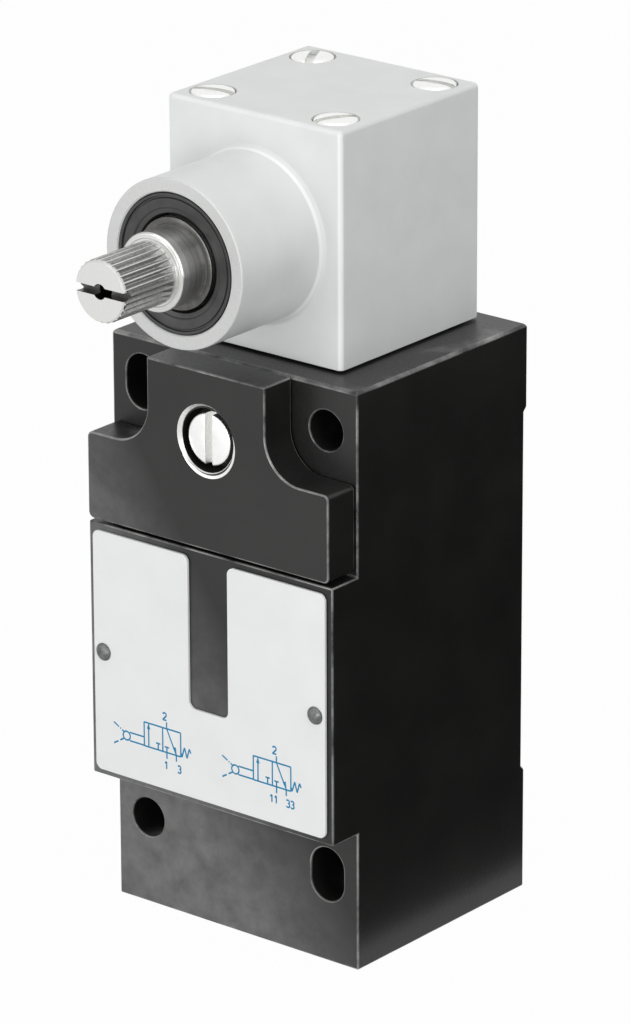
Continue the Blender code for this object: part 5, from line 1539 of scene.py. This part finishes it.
def make_floor_paper():
    """Matt white paper with a soft fibre, shown nearly as white as the sky, with a trace of its shadow."""
    material, shader = new_material("white_paper")
    place = add_node(material, "ShaderNodeTexCoord", "Object", {})
    fibre = add_node(
        material, "ShaderNodeTexNoise", "Fac", {"Vector": place, "Scale": per_mm(3), "Detail": 3.0}
    )
    mix = {"Factor": fibre, "A": linear("#adadad"), "B": linear("#b9b9b9")}
    colour = add_node(material, "ShaderNodeMix", "Result", mix, data_type="RGBA")
    set_inputs(material, shader, {"Base Color": colour, "Roughness": 0.9, "Specular IOR Level": 0.1})
    seen = seen_directly(material)
    glowing = add_node(
        material, "ShaderNodeMath", "Value", {0: seen, 1: PAPER_GLOW}, operation="MULTIPLY"
    )
    glow = add_node(material, "ShaderNodeEmission", "Emission", {"Color": (1, 1, 1, 1), "Strength": 1.0})
    paper = {0: glowing, 1: shader.outputs["BSDF"], 2: glow}
    both = add_node(material, "ShaderNodeMixShader", "Shader", paper)
    set_inputs(material, material.node_tree.nodes["Material Output"], {"Surface": both})
    return material


floor.data.materials.append(make_floor_paper())

# %% The sky and the lamps
SKY_LIGHT = 0.4
world = bpy.data.worlds.new("studio")
bpy.context.scene.world = world
world.use_nodes = True
sky = world.node_tree.nodes["Background"]
strength = add_node(
    world, "ShaderNodeMix", "Result", {"Factor": seen_directly(world), "A": SKY_LIGHT, "B": 1.0}
)
set_inputs(world, sky, {"Color": (1, 1, 1, 1), "Strength": strength})


def add_softbox(name, place, aim, size, power):
    """A large soft lamp at a place in millimetres, turned towards another."""
    bpy.ops.object.light_add(type="AREA", location=mm(*place))
    lamp = bpy.context.object
    lamp.name = name
    lamp.data.shape = "RECTANGLE"
    lamp.data.size = size[0] * MM
    lamp.data.size_y = size[1] * MM
    lamp.data.energy = power
    lamp.rotation_euler = (Vector(aim) - Vector(place)).to_track_quat("-Z", "Y").to_euler()


def add_reflected_shade_card(name, low, high):
    """A black card that only reflections see, as painted shade for glossy sides to mirror."""
    card = start_block(low, high)
    card.name = name
    material, shader = new_material(f"black_card_{name}")
    set_inputs(material, shader, {"Base Color": linear("#0c0c0c"), "Roughness": 0.9})
    card.data.materials.append(material)
    card.visible_camera = False
    card.visible_diffuse = False
    card.visible_shadow = False
    card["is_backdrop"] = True


add_softbox("key_softbox", (-200, -640, 220), (0, 0, 60), (420, 420), 0.95)
add_softbox("low_softbox", (60, -560, 40), (0, 0, 50), (300, 200), 1.5)
add_softbox("top_softbox", (60, -60, 700), (0, 0, 60), (400, 400), 1.4)
add_softbox("side_softbox", (620, -200, 400), (0, 0, 60), (300, 500), 1.6)
# painted shade seen only in reflections: a dark card on the right, and a dark sheet where the shadow falls
# on the floor
add_reflected_shade_card("reflected_shade_card_right", (60, -40, 1), (61, 320, 80))
add_reflected_shade_card("reflected_floor_shadow_card", (24, -20, 0.5), (60, 320, 1))
bpy.context.scene.view_settings.view_transform = "Standard"

# %% [markdown]
# ## Measure the size again
#
# The finished model is measured again, and how far it reaches past the CAD's box on each side is printed.
# The finished model may not be larger than the CAD model it stands for.

# %% Print how far the model grew past the CAD's box
seen_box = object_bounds()
growth = [*(cad_box[0] - seen_box[0]), *(seen_box[1] - cad_box[1])]
print("grown by mm", [round(step / MM, 3) for step in growth])
